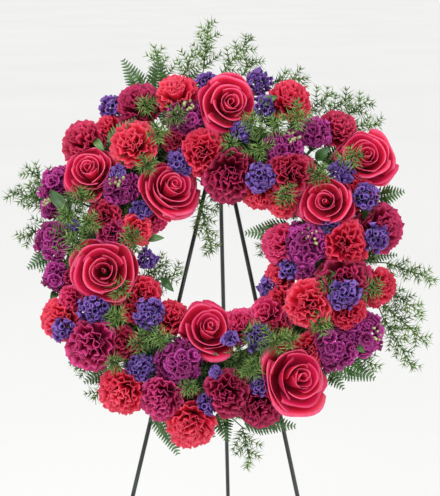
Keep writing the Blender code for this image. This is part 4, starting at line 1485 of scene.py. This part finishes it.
# Short sprays that stand between the flowers: place u and v, height and reach
FACE_SPRAYS = [
    (-87, 186, 92, 17), (-105, 228, 84, 15), (55, 205, 92, 15), (22, 172, 86, 15),
    (123, 213, 88, 22), (93, 199, 88, 18), (204, 153, 82, 18), (155, 126, 92, 16),
    (107, 96, 96, 15), (66, 165, 86, 20), (-102, 138, 92, 16), (-188, 53, 92, 17),
    (-223, 60, 80, 16), (-207, 21, 86, 19), (-125, 30, 88, 20), (-140, -48, 88, 16),
    (-144, -90, 90, 18), (-110, -129, 92, 20), (-80, -120, 90, 18), (-147, -159, 86, 14),
    (-35, -194, 88, 13), (236, -42, 76, 18), (160, -98, 94, 17), (92, -125, 96, 22),
    (60, -165, 92, 18), (112, -120, 92, 16), (170, -40, 88, 16), (-200, 90, 84, 16),
    (60, -112, 78, 17), (-212, 86, 70, 20), (-228, 30, 66, 20), (-60, 214, 84, 18),
]
FACE_LIFT = 15.0
# Tiny bits of statice between the blooms: place u and v, height and radius
STATICE_BITS = [(25, -121, 104, 8), (4, -171, 100, 6), (-147, 127, 96, 8), (-214, 49, 84, 6)]
# Broad leaves: foot u and v, tip u and v, height, half the width
LEAVES = [
    (-184, 178, -168, 160, 84, 6), (-144, 140, -138, 154, 94, 5), (152, -22, 186, -24, 92, 8),
    (188, -2, 206, 6, 88, 6), (153, 45, 178, 40, 96, 6), (216, 63, 240, 80, 80, 7),
    (202, -120, 226, -138, 84, 7), (-240, -54, -248, -66, 62, 6), (-250, 100, -215, 60, 80, 9),
    (-108, 30, -76, 30, 78, 6), (60, 230, 92, 244, 84, 7), (-20, 190, -2, 176, 92, 6),
    (150, 150, 170, 168, 84, 8), (-80, -30, -62, -50, 62, 6), (-10, -140, 14, -152, 92, 6),
]


@dataclass
class FaceGreens:
    """Short needle sprays, leaves and bits of statice tucked between the flowers.

    Attributes:
        seed: What its random numbers start from.
    """

    seed: int = 77

    def twig(self, u: float, v: float, w: float) -> np.ndarray:
        """The line of a twig from the foam's front to a place on the face.

        Args:
            u: How far to the right it ends.
            v: How far up.
            w: How far in front.

        Returns:
            Rows of points, from inside the foam out.
        """
        reach = math.hypot(u, v)
        keep = min(max(reach, RING - FOAM_TOP_HALF + 4.0), RING + FOAM_TOP_HALF - 4.0) / reach
        foot = np.array((u * keep, v * keep, FOAM_FRONT - 6.0))
        return smooth_path([foot, in_view(u, v, w)], 6.0)

    def sprays(self, finishes: "Finishes") -> bpy.types.Object:
        """Builds the short sprays, each fanned out from the end of its twig.

        Args:
            finishes: Every material of the wreath and its stand.

        Returns:
            The finished object.
        """
        draw = np.random.default_rng(self.seed)
        slots = [finishes.needle, finishes.stem]
        piece = Piece("asparagus_face_sprays", "foliage", slots)
        for u, v, w, size in FACE_SPRAYS:
            twig = self.twig(u, v, w + FACE_LIFT)
            piece.solids.append(stalk(twig, 1.1, 0.7, 5, 1))
            tip = twig[-1]
            for angle in draw.uniform(0, math.tau) + np.arange(4) * math.tau / 4:
                reach = size * draw.uniform(0.7, 1.15)
                out = on_ring(reach, angle, 6.0)
                arm = smooth_path([tip, tip + out], 4.0)
                piece.solids.append(stalk(arm, 0.5, 0.5, 4, 1))
                piece.solids.append(needles_along(arm, *FACE_NEEDLES, 0, draw))
        return piece.build()

    def statice(self, finishes: "Finishes") -> bpy.types.Object:
        """Builds the loose bits of statice.

        Args:
            finishes: Every material of the wreath and its stand.

        Returns:
            The finished object.
        """
        draw = np.random.default_rng(self.seed + 1)
        piece = Piece("statice_bits", "statice_bract", [finishes.statice, finishes.stem], None, 0.3)
        for u, v, w, size in STATICE_BITS:
            head = Head("bits", (u, v, size, 0.0))
            head.centre = in_view(u, v, w)
            piece.parts.append(Statice("bits", [head], None, 0).cups(head, draw))
            twig = self.twig(u, v, w)
            piece.solids.append(stalk(twig, 1.0, 1.0, 5, 1))
        return piece.build()

    def leaves(self, finishes: "Finishes") -> bpy.types.Object:
        """Builds the broad leaves.

        Args:
            finishes: Every material of the wreath and its stand.

        Returns:
            The finished object.
        """
        draw = np.random.default_rng(self.seed + 2)
        blade = sheet(6, 10)
        flat = points_of(blade)
        share = (flat[:, 1] + 1.0) / 2.0
        outline = np.sin(math.pi * np.clip(0.04 + 0.95 * share, 0.0, 1.0)) ** 0.8
        piece = Piece("loose_leaves", "foliage", [finishes.leaf, finishes.stem], None, 0.4)
        made = []
        for u, v, tip_u, tip_v, w, half in LEAVES:
            foot, tip = in_view(u, v, w - 14.0), in_view(tip_u, tip_v, w)
            along = tip - foot
            side = unit(np.cross(along, (0.0, 0.0, 1.0)))
            up = unit(np.cross(side, along))
            rise = 6.0 * np.sin(math.pi * share) + 0.28 * half * flat[:, 0] ** 2
            made.append(
                foot
                + along * share[:, None]
                + side * (flat[:, 0] * outline * half)[:, None]
                + up * rise[:, None]
            )
            twig = self.twig(u, v, w - 14.0)
            piece.solids.append(stalk(twig, 0.9, 0.9, 5, 1))
        piece.parts.append(shaped(blade, np.array(made), draw.uniform(0, 1, len(made)), 0))
        return piece.build()


@dataclass
class Backing:
    """Dark fern and needles behind the flowers, which hide the foam between them.

    Attributes:
        layout: Where the heads are.
        seed: What its random numbers start from.
        fronds: How many ferns stand outside the ring.
        inner_fronds: How many stand inside it.
    """

    layout: Layout
    seed: int = 5
    fronds: int = 26
    inner_fronds: int = 15

    def frond(self, angle: float, side: int, long: float, lean: float) -> np.ndarray:
        """The line of one fern's stem and rib, out of the foam's wall.

        Args:
            angle: Where on the ring, in radians.
            side: 1 for the outer wall, -1 for the inner one.
            long: How far it reaches, in millimetres.
            lean: How far it turns round the ring on its way.

        Returns:
            The rib's path from inside the foam to the tip.
        """
        points = []
        for share, level in ((-0.12, 26.0), (0.15, 30.0), (0.6, 40.0), (1.0, 38.0)):
            reach = RING + side * (FOAM_HALF + share * long)
            turn = angle + lean * max(share, 0.0)
            points.append(on_ring(reach, turn, level))
        return smooth_path(points, 4.5)

    def fern_collar(self, finishes: "Finishes") -> bpy.types.Object:
        """Builds the collar of ferns round the outside and inside of the foam.

        Args:
            finishes: Every material of the wreath and its stand.

        Returns:
            The finished object.
        """
        draw = np.random.default_rng(self.seed)
        piece = Piece("fern_collar", "foliage", [finishes.leaf, finishes.stem], None, 0.35)
        for side, count, long in ((1, self.fronds, 58.0), (-1, self.inner_fronds, 30.0)):
            for number in range(count):
                angle = math.tau * (number + draw.uniform(-0.2, 0.2)) / count
                reach = long * draw.uniform(0.8, 1.05)
                rib = self.frond(angle, side, reach, draw.uniform(-0.12, 0.12))
                piece.solids.append(stalk(rib, 1.3, 0.5, 5, 1))
                width = 17.0 if side > 0 else 11.0
                piece.parts.append(leaflets_along(rib[3:], width, 0, draw))
        return piece.build()

    def needle_bed(self, finishes: "Finishes") -> bpy.types.Object:
        """Builds the needles that fill the gaps between the heads.

        Args:
            finishes: Every material of the wreath and its stand.

        Returns:
            The finished object.
        """
        draw = np.random.default_rng(self.seed + 1)
        piece = Piece("needle_bed", "foliage", [finishes.needle, finishes.stem])
        for across in (-46.0, -28.0, -10.0, 8.0, 26.0, 44.0, 60.0):
            count = round(math.tau * (RING + across) / 21.0)
            for number in range(count):
                turn = math.tau * (number + draw.uniform(-0.25, 0.25)) / count
                reach = RING + across
                rise = math.sqrt(1.0 - (across / DOME_HALF) ** 2)
                w = TUBE_DEPTH + 0.78 * DOME_DEPTH * rise
                tip = on_ring(reach, turn, w)
                if not self.layout.is_open(tip, 0.5):
                    continue
                keep = min(max(reach, RING - 18.0), RING + 18.0)
                foot = on_ring(keep, turn, FOAM_FRONT - 6.0)
                twig = smooth_path([foot, tip], 5.0)
                piece.solids.append(stalk(twig, 0.9, 0.9, 5, 1))
                piece.solids.append(needles_along(twig[-3:], 3.0, 9, 15.0, 0, draw))
        return piece.build()


# The finishes

# Inputs of the Map Range and Mix nodes by number, as some of their names come twice
VALUE, START, STOP, LOW, HIGH = range(5)
SHARE, UNDER, OVER, MIXED = 0, 6, 7, 2


def linear(colour: str) -> tuple[float, float, float, float]:
    """Turns an sRGB hex colour to linear.

    Args:
        colour: Six hex digits after a #.

    Returns:
        Red, green, blue and an alpha of one.
    """
    parts = (int(colour[place : place + 2], 16) / 255.0 for place in (1, 3, 5))
    return (*(c / 12.92 if c <= 0.04045 else ((c + 0.055) / 1.055) ** 2.4 for c in parts), 1.0)


def cycles(size: float) -> float:
    """The scale of a pattern whose features are so many millimetres across."""
    return 1.0 / (size * MM)


class Surface:
    """One material while its nodes are put together."""

    def __init__(self, name: str) -> None:
        """Starts the material with its shader alone.

        Args:
            name: The material's name.
        """
        self.material = bpy.data.materials.new(name)
        self.material.use_nodes = True
        self.tree = self.material.node_tree
        self.shader = self.tree.nodes["Principled BSDF"]

    def fill(self, node: bpy.types.Node, inputs: dict) -> None:
        """Links each input that is given a socket, and sets the others to their values.

        Args:
            node: The node.
            inputs: A value or a socket for each input.
        """
        for key, value in inputs.items():
            if isinstance(value, bpy.types.NodeSocket):
                self.tree.links.new(value, node.inputs[key])
            else:
                node.inputs[key].default_value = value

    def add(
        self, kind: str, inputs: dict | None = None, output: int | str = 0, **settings
    ) -> bpy.types.NodeSocket:
        """Adds a node with its settings, its values and its links.

        Args:
            kind: The node's type, without the words ShaderNode.
            inputs: A value, or another node's output, for each input.
            output: Which of its outputs is wanted.
            **settings: The node's own properties.

        Returns:
            The socket of that output.
        """
        node = self.tree.nodes.new("ShaderNode" + kind)
        for name, value in settings.items():
            setattr(node, name, value)
        self.fill(node, inputs or {})
        return node.outputs[output]

    def shade(self, sockets: dict) -> bpy.types.Material:
        """Fills the shader's own sockets and gives the finished material."""
        self.fill(self.shader, sockets)
        return self.material


@dataclass(frozen=True)
class Petal:
    """Fresh petal: soft and matt, with faint veins and painted shade that darkens its heart.

    Attributes:
        name: The finish's name.
        heart: The colour of the painted shade deep in the bloom, in hex, which the veins also take.
        blade: The colour of most of the petal.
        rim: The colour of the edge, where light comes through.
        dark: The colour that the darkest petals lean to.
        rim_start: Where along the petal the rim's colour starts.
        roughness: The petal's roughness.
        sheen: The soft bloom of its fine hairs.
        vein: How strongly the veins show.
        blotch: How far across its colour drifts, in millimetres.
    """

    name: str
    heart: str
    blade: str
    rim: str
    dark: str
    rim_start: float = 0.80
    roughness: float = 0.58
    sheen: float = 0.25
    vein: float = 0.35
    blotch: float = 11.76

    def build(self) -> bpy.types.Material:
        """Builds the material.

        Returns:
            The finished material.
        """
        made = Surface(self.name)
        uv = made.add("UVMap", uv_map="along")
        along = made.add("SeparateXYZ", {0: uv}, "Y")
        tone = made.add("Attribute", None, "Fac", attribute_name="tone")
        place = made.add("TexCoord", None, "Object")
        # Veins run up the petal, so the pattern is stretched that way.
        stretched = made.add("Mapping", {"Vector": uv, "Scale": (26.0, 2.2, 1.0)})
        veins = made.add("TexNoise", {"Vector": stretched, "Scale": 1.0, "Detail": 3.0})
        blotches = made.add(
            "TexNoise", {"Vector": place, "Scale": cycles(self.blotch), "Detail": 3.0}
        )
        smooth = {"interpolation_type": "SMOOTHSTEP"}
        # The heart's colour is painted shade: full over the petal's first quarter, gone by three quarters
        # of its length.
        deep = {VALUE: along, START: 0.25, STOP: 0.78, LOW: 1.0, HIGH: 0.0}
        edge = {VALUE: along, START: self.rim_start, STOP: 1.0}
        shift = {VALUE: tone, START: 0.35, STOP: 1.0, LOW: 0.0, HIGH: 0.75}
        drift = {VALUE: blotches, START: 0.42, STOP: 0.72, HIGH: 0.45}
        line = {VALUE: veins, START: 0.45, STOP: 0.70, HIGH: self.vein}
        colour = linear(self.blade)
        for ramp, curve, over in (
            (deep, smooth, self.heart), (edge, smooth, self.rim), (shift, {}, self.dark),
            (drift, {}, self.dark), (line, {}, self.heart),
        ):
            share = made.add("MapRange", ramp, **curve)
            mixed = {SHARE: share, UNDER: colour, OVER: linear(over)}
            colour = made.add("Mix", mixed, MIXED, data_type="RGBA")
        bump = made.add("Bump", {"Height": veins, "Strength": 0.35, "Distance": 0.0006})
        return made.shade({
            "Base Color": colour, "Normal": bump, "Roughness": self.roughness,
            "Specular IOR Level": 0.35, "Sheen Weight": self.sheen, "Sheen Roughness": 0.45,
            "Sheen Tint": linear(self.rim), "Subsurface Weight": 0.22,
            "Subsurface Radius": (1.0, 0.35, 0.30), "Subsurface Scale": 0.004,
        })


@dataclass(frozen=True)
class Foliage:
    """Cut foliage: waxy green, lighter on some needles.

    Attributes:
        name: The finish's name.
        base: The colour of most of it, in hex.
        tip: The colour of its young parts.
        dark: The colour of its shaded and older parts.
        roughness: How waxy it is.
        sprig: How far across one sprig differs from the next, in millimetres.
        fleck: The size of its flecks.
    """

    name: str
    base: str
    tip: str
    dark: str
    roughness: float = 0.48
    sprig: float = 25.0
    fleck: float = 1.43

    def build(self) -> bpy.types.Material:
        """Builds the material.

        Returns:
            The finished material.
        """
        made = Surface(self.name)
        place = made.add("TexCoord", None, "Object")
        tone = made.add("Attribute", None, "Fac", attribute_name="tone")
        sprigs = made.add("TexNoise", {"Vector": place, "Scale": cycles(self.sprig), "Detail": 2.0})
        grain = made.add("TexNoise", {"Vector": place, "Scale": cycles(self.fleck), "Detail": 2.0})
        colour = linear(self.base)
        for ramp, over in (
            ({VALUE: tone, START: 0.2, STOP: 1.0, LOW: 0.0, HIGH: 0.9}, self.tip),
            ({VALUE: sprigs, START: 0.40, STOP: 0.68, HIGH: 0.85}, self.dark),
            ({VALUE: grain, START: 0.5, STOP: 0.8, HIGH: 0.35}, self.tip),
        ):
            share = made.add("MapRange", ramp)
            mixed = {SHARE: share, UNDER: colour, OVER: linear(over)}
            colour = made.add("Mix", mixed, MIXED, data_type="RGBA")
        bump = made.add("Bump", {"Height": grain, "Strength": 0.25, "Distance": 0.0005})
        return made.shade({
            "Base Color": colour, "Normal": bump, "Roughness": self.roughness,
            "Subsurface Weight": 0.10, "Subsurface Radius": (0.4, 1.0, 0.2),
            "Subsurface Scale": 0.002,
        })


@dataclass(frozen=True)
class Enamel:
    """Baked enamel on steel wire: dark, a little glossy, with fine orange peel and scuffs.

    Attributes:
        name: The finish's name.
        colour: The enamel's colour, in hex.
        worn: The colour where it is scuffed.
        peel: The size of its orange peel, in millimetres.
        scuff: The size of its scuffs, in millimetres.
    """

    name: str = "baked_enamel_wire"
    colour: str = "#16201F"
    worn: str = "#3C4644"
    peel: float = 1.54
    scuff: float = 33.3

    def build(self) -> bpy.types.Material:
        """Builds the material.

        Returns:
            The finished material.
        """
        made = Surface(self.name)
        place = made.add("TexCoord", None, "Object")
        peel = made.add("TexNoise", {"Vector": place, "Scale": cycles(self.peel), "Detail": 2.0})
        scuffs = made.add("TexNoise", {"Vector": place, "Scale": cycles(self.scuff), "Detail": 6.0})
        worn = made.add("MapRange", {VALUE: scuffs, START: 0.52, STOP: 0.75, HIGH: 0.6})
        mixed = {SHARE: worn, UNDER: linear(self.colour), OVER: linear(self.worn)}
        ramp = {VALUE: scuffs, START: 0.3, STOP: 0.7, LOW: 0.26, HIGH: 0.48}
        return made.shade({
            "Base Color": made.add("Mix", mixed, MIXED, data_type="RGBA"),
            "Roughness": made.add("MapRange", ramp),
            "Normal": made.add("Bump", {"Height": peel, "Strength": 0.22, "Distance": 0.0004}),
            "IOR": 1.5,
        })


@dataclass(frozen=True)
class WetFoam:
    """Soaked floral foam: a dark green open-celled crumb, dull and rough.

    Its cells are drawn coarser than the real 0.3 mm, so that they show.

    Attributes:
        name: The finish's name.
        colour: The foam's colour, in hex.
        pit_shade_and_damp: The colour of the painted shade in its cells, and of its damp patches.
        cell: The size of a cell as drawn, in millimetres.
        damp: The size of its damp patches, in millimetres.
    """

    name: str = "wet_floral_foam"
    colour: str = "#2F5A37"
    pit_shade_and_damp: str = "#12301C"
    cell: float = 1.25
    damp: float = 16.7

    def build(self) -> bpy.types.Material:
        """Builds the material.

        Returns:
            The finished material.
        """
        made = Surface(self.name)
        place = made.add("TexCoord", None, "Object")
        cells = made.add("TexVoronoi", {"Vector": place, "Scale": cycles(self.cell)})
        drift = made.add("TexNoise", {"Vector": place, "Scale": cycles(self.damp), "Detail": 4.0})
        colour = linear(self.colour)
        # Painted shade darkens the hollow of each cell; damp patches drift to the same dark colour.
        for ramp in (
            {VALUE: cells, START: 0.0, STOP: 0.6, LOW: 0.8, HIGH: 0.0},
            {VALUE: drift, START: 0.4, STOP: 0.7, HIGH: 0.6},
        ):
            share = made.add("MapRange", ramp)
            mixed = {SHARE: share, UNDER: colour, OVER: linear(self.pit_shade_and_damp)}
            colour = made.add("Mix", mixed, MIXED, data_type="RGBA")
        bump = made.add("Bump", {"Height": cells, "Strength": 0.7, "Distance": 0.001})
        return made.shade({"Base Color": colour, "Normal": bump, "Roughness": 0.85})


@dataclass(frozen=True)
class MouldedPlastic:
    """Injection-moulded polypropylene: dark green, satin, with a fine spark texture.

    Attributes:
        name: The finish's name.
        colour: The plastic's colour, in hex.
        pale: The colour of its flow marks.
        spark: The size of its spark texture, in millimetres.
        flow: The size of its flow marks, in millimetres.
    """

    name: str = "moulded_polypropylene"
    colour: str = "#1F4A2C"
    pale: str = "#3A6A48"
    spark: float = 0.833
    flow: float = 40.0

    def build(self) -> bpy.types.Material:
        """Builds the material.

        Returns:
            The finished material.
        """
        made = Surface(self.name)
        place = made.add("TexCoord", None, "Object")
        spark = made.add("TexNoise", {"Vector": place, "Scale": cycles(self.spark), "Detail": 2.0})
        flow = made.add("TexNoise", {"Vector": place, "Scale": cycles(self.flow), "Detail": 3.0})
        marks = made.add("MapRange", {VALUE: flow, START: 0.45, STOP: 0.75, HIGH: 0.5})
        mixed = {SHARE: marks, UNDER: linear(self.colour), OVER: linear(self.pale)}
        return made.shade({
            "Base Color": made.add("Mix", mixed, MIXED, data_type="RGBA"),
            "Normal": made.add("Bump", {"Height": spark, "Strength": 0.3, "Distance": 0.0003}),
            "Roughness": 0.42, "IOR": 1.49,
        })


@dataclass(frozen=True)
class ZincPlate:
    """Bright zinc plate on a turned bolt: pale grey metal with a cloudy passivated film.

    Attributes:
        name: The finish's name.
        colour: The plate's colour, in hex.
        cloudy: The film's colour where it is cloudy.
        cloud: The size of its clouds, in millimetres.
    """

    name: str = "bright_zinc_plate"
    colour: str = "#C4C8C6"
    cloudy: str = "#8E9698"
    cloud: float = 3.85

    def build(self) -> bpy.types.Material:
        """Builds the material.

        Returns:
            The finished material.
        """
        made = Surface(self.name)
        place = made.add("TexCoord", None, "Object")
        cloud = made.add("TexNoise", {"Vector": place, "Scale": cycles(self.cloud), "Detail": 4.0})
        mixed = {SHARE: cloud, UNDER: linear(self.colour), OVER: linear(self.cloudy)}
        return made.shade({
            "Base Color": made.add("Mix", mixed, MIXED, data_type="RGBA"),
            "Roughness": made.add("MapRange", {VALUE: cloud, LOW: 0.22, HIGH: 0.45}),
            "Metallic": 1.0,
        })


@dataclass(frozen=True)
class StudioFloor:
    """Matt pale studio floor.

    Attributes:
        name: The finish's name.
        colour: The floor's colour, in hex.
        shadow: The colour that it drifts to.
        drift: How far across a drift is, in millimetres.
    """

    name: str = "matt_studio_floor"
    colour: str = "#F4F4F3"
    shadow: str = "#ECECEB"
    drift: float = 1667.0

    def build(self) -> bpy.types.Material:
        """Builds the material.

        Returns:
            The finished material.
        """
        made = Surface(self.name)
        place = made.add("TexCoord", None, "Object")
        drift = made.add("TexNoise", {"Vector": place, "Scale": cycles(self.drift), "Detail": 1.0})
        mixed = {SHARE: drift, UNDER: linear(self.colour), OVER: linear(self.shadow)}
        colour = made.add("Mix", mixed, MIXED, data_type="RGBA")
        return made.shade({"Base Color": colour, "Roughness": 0.9})


# Each shade's heart, blade, rim and dark colour, in hex; the heart is painted shade deep in the bloom.
CARNATION_HUES = {
    CORAL: ("#BC142E", "#EC2440", "#F65A74", "#D41C4C"),
    RED: ("#A20C2A", "#D8183C", "#EE4468", "#B41034"),
    CRIMSON: ("#7A0A24", "#B8143C", "#DC3C6C", "#8C0C2C"),
    BURGUNDY: ("#5C081E", "#981038", "#CC2E70", "#6C0A26"),
    MAGENTA: ("#700A30", "#B81860", "#DC4890", "#90103E"),
    PINK: ("#960C34", "#DC2460", "#F0508C", "#B8184C"),
}


class Finishes:
    """Every finish of the wreath and its stand, built once."""

    def __init__(self) -> None:
        """Builds the materials."""
        # Each petal finish's first colour is its heart, painted shade deep in the bloom.
        self.rose = Petal(
            "fresh_rose_petal", "#B4122C", "#E22048", "#F2648E", "#CC1858", 0.86, 0.46, 0.3, 0.25
        ).build()
        self.carnation = {
            shade: Petal(shade.value + "_carnation_petal", *hues).build()
            for shade, hues in CARNATION_HUES.items()
        }
        self.stock = Petal(
            "fresh_stock_petal", "#4C0838", "#9C1078", "#CC4CA8", "#5C0840", 0.7, 0.6, 0.3, 0.3
        ).build()
        self.statice = Petal(
            "papery_statice_bract", "#2E1760", "#603C9C", "#9676CC", "#38206C", 0.6, 0.75, 0.1, 0.5
        ).build()
        self.bud = Foliage("stock_bud_skin", "#A8B474", "#D2D2A0", "#7C8A54", 0.55).build()
        self.needle = Foliage("asparagus_needle", "#6A9042", "#A2C070", "#3E5E2E", 0.5).build()
        self.leaf = Foliage("leatherleaf_blade", "#3A6432", "#6A9450", "#24421F", 0.38).build()
        self.stem = Foliage("cut_flower_stem", "#4E7A3A", "#7A9E58", "#30502A", 0.45).build()
        self.enamel = Enamel().build()
        self.foam = WetFoam().build()
        self.tray = MouldedPlastic().build()
        self.zinc = ZincPlate().build()
        self.floor = StudioFloor().build()


# The stand


@dataclass
class Stand:
    """The easel, hook, bolt, tray and foam, which keep their CAD shapes.

    Attributes:
        enamelled: The nodes of enamelled wire.
    """

    enamelled: tuple[str, ...] = ("easel_leg_left", "easel_leg_right", "easel_leg_back", "ring_hook")

    def dress(self, finishes: Finishes) -> None:
        """Gives each CAD node its finish.

        Args:
            finishes: Every material of the wreath and its stand.
        """
        for node in self.enamelled:
            self.paint(node, finishes.enamel)
        self.paint("pivot_bolt", finishes.zinc)
        self.paint("backing_tray", finishes.tray)
        self.paint("foam_ring", finishes.foam)

    def paint(self, node: str, finish: bpy.types.Material) -> None:
        """Puts one finish on every slot of a CAD node.

        Args:
            node: The CAD node.
            finish: Its material.
        """
        data = bpy.data.objects[node].data
        data.materials.clear()
        data.materials.append(finish)
        LOG.info("%s: %s", node, finish.name)


@dataclass
class Studio:
    """A plain pale floor, soft light and the camera at the photograph's angle.

    Attributes:
        azimuth: How far the camera stands to the right, in degrees.
        elevation: How high it looks down from, in degrees.
        distance: How far it stands off, in metres.
        focal: Its focal length on a 36 mm sensor.
        aim: What is in the middle of the view, u and v on the wreath's back plane.
        floor_half: Half the floor's side, in metres.
        lit: What the lamps look at, in metres.
    """

    azimuth: float = 3.2
    elevation: float = 10.0
    distance: float = 2.6
    focal: float = 126.0
    aim: tuple[float, float] = (3.0, 18.0)
    floor_half: float = 60.0
    lit: tuple[float, float, float] = (0.0, -0.15, 0.9)

    def floor(self, finishes: Finishes) -> None:
        """Lays the floor.

        Args:
            finishes: Every material of the wreath and its stand.
        """
        bm = bmesh.new()
        bmesh.ops.create_grid(bm, x_segments=8, y_segments=8, size=self.floor_half)
        mesh = to_mesh(bm, "studio_floor")
        mesh.materials.append(finishes.floor)
        linked("studio_floor", mesh)

    def light(self, name: str, place: tuple, size: float, power: float) -> None:
        """Hangs one soft area light that looks at the wreath.

        Args:
            name: The light's name.
            place: Where it hangs, in metres.
            size: Its side.
            power: Its power in watts.
        """
        data = bpy.data.lights.new(name, "AREA")
        data.size = size
        data.energy = power
        obj = linked(name, data)
        obj.location = place
        aim = Vector(self.lit) - Vector(place)
        obj.rotation_euler = aim.to_track_quat("-Z", "Y").to_euler()

    def lights(self) -> None:
        """Sets the soft light all round and the two lamps."""
        world = bpy.data.worlds.new("pale_studio")
        world.use_nodes = True
        back = world.node_tree.nodes["Background"]
        back.inputs["Color"].default_value = (1.0, 1.0, 1.0, 1.0)
        back.inputs["Strength"].default_value = 1.0
        bpy.context.scene.world = world
        bpy.context.scene.view_settings.view_transform = "Standard"
        self.light("key_light", (-1.2, -2.4, 2.8), 1.6, 42.0)
        self.light("fill_light", (1.9, -2.0, 1.6), 1.8, 14.0)

    def camera(self) -> None:
        """Sets up the camera."""
        data = bpy.data.cameras.new("camera")
        data.lens = self.focal
        data.sensor_width = data.sensor_height = 36.0
        data.sensor_fit = "VERTICAL"
        obj = linked("camera", data)
        target = Vector(to_row(np.array([(*self.aim, 0.0)]))[0])
        turn, rise = math.radians(self.azimuth), math.radians(self.elevation)
        away = Vector(
            (math.sin(turn) * math.cos(rise), -math.cos(turn) * math.cos(rise), math.sin(rise))
        )
        obj.location = target + away * self.distance
        obj.rotation_euler = (-away).to_track_quat("-Z", "Y").to_euler()
        bpy.context.scene.camera = obj


def green_hole(degrees: float, side: int) -> tuple[np.ndarray, np.ndarray]:
    """Where a green's stem stands in the foam's wall.

    Args:
        degrees: The angle round the ring.
        side: 1 for the outer wall, -1 for the inner one.

    Returns:
        The fork outside the foam and the end inside it.
    """
    turn = math.radians(degrees)
    made = []
    for across in (FOAM_HALF + 8.0, FOAM_HALF - STEM_IN_FOAM):
        reach = RING + side * across
        made.append(on_ring(reach, turn, GREEN_LEVEL))
    return made[0], made[1]


# What the pieces' random numbers are counted from
BLOOM_SEED, GREEN_SEED, FACE_SEED = 11, 200, 300


def main() -> None:
    """Builds the looks of the wreath and its stand round the CAD part."""
    logging.basicConfig(level=logging.INFO, format="%(message)s")
    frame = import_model()
    LOG.info("frame: %d nodes", len(frame["nodes"]))
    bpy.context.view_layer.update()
    finishes = Finishes()
    layout = Layout()
    Stand().dress(finishes)
    makers = {**dict.fromkeys(ROSES, Rose), **dict.fromkeys(CARNATIONS, Carnations)}
    makers.update({**dict.fromkeys(STOCKS, Stock), **dict.fromkeys(STATICES, Statice)})
    for seed, (node, maker) in enumerate(makers.items()):
        maker(node, layout.heads[node], stem_hole(node), BLOOM_SEED + seed).build(finishes)
    for seed, (node, (degrees, side, members)) in enumerate(GREENS.items()):
        Greens(node, green_hole(degrees, side), members, GREEN_LEVEL, GREEN_SEED + seed).build(finishes)
    for seed, (node, (_, members)) in enumerate(FACE_GREENS.items()):
        Greens(node, stem_hole(node), members, FACE_ROOT, FACE_SEED + seed).build(finishes)
    face, backing, studio = FaceGreens(), Backing(layout), Studio()
    for build in (face.sprays, face.statice, face.leaves, backing.fern_collar, backing.needle_bed):
        build(finishes)
    studio.floor(finishes)
    studio.lights()
    studio.camera()


if __name__ == "__main__":
    main()
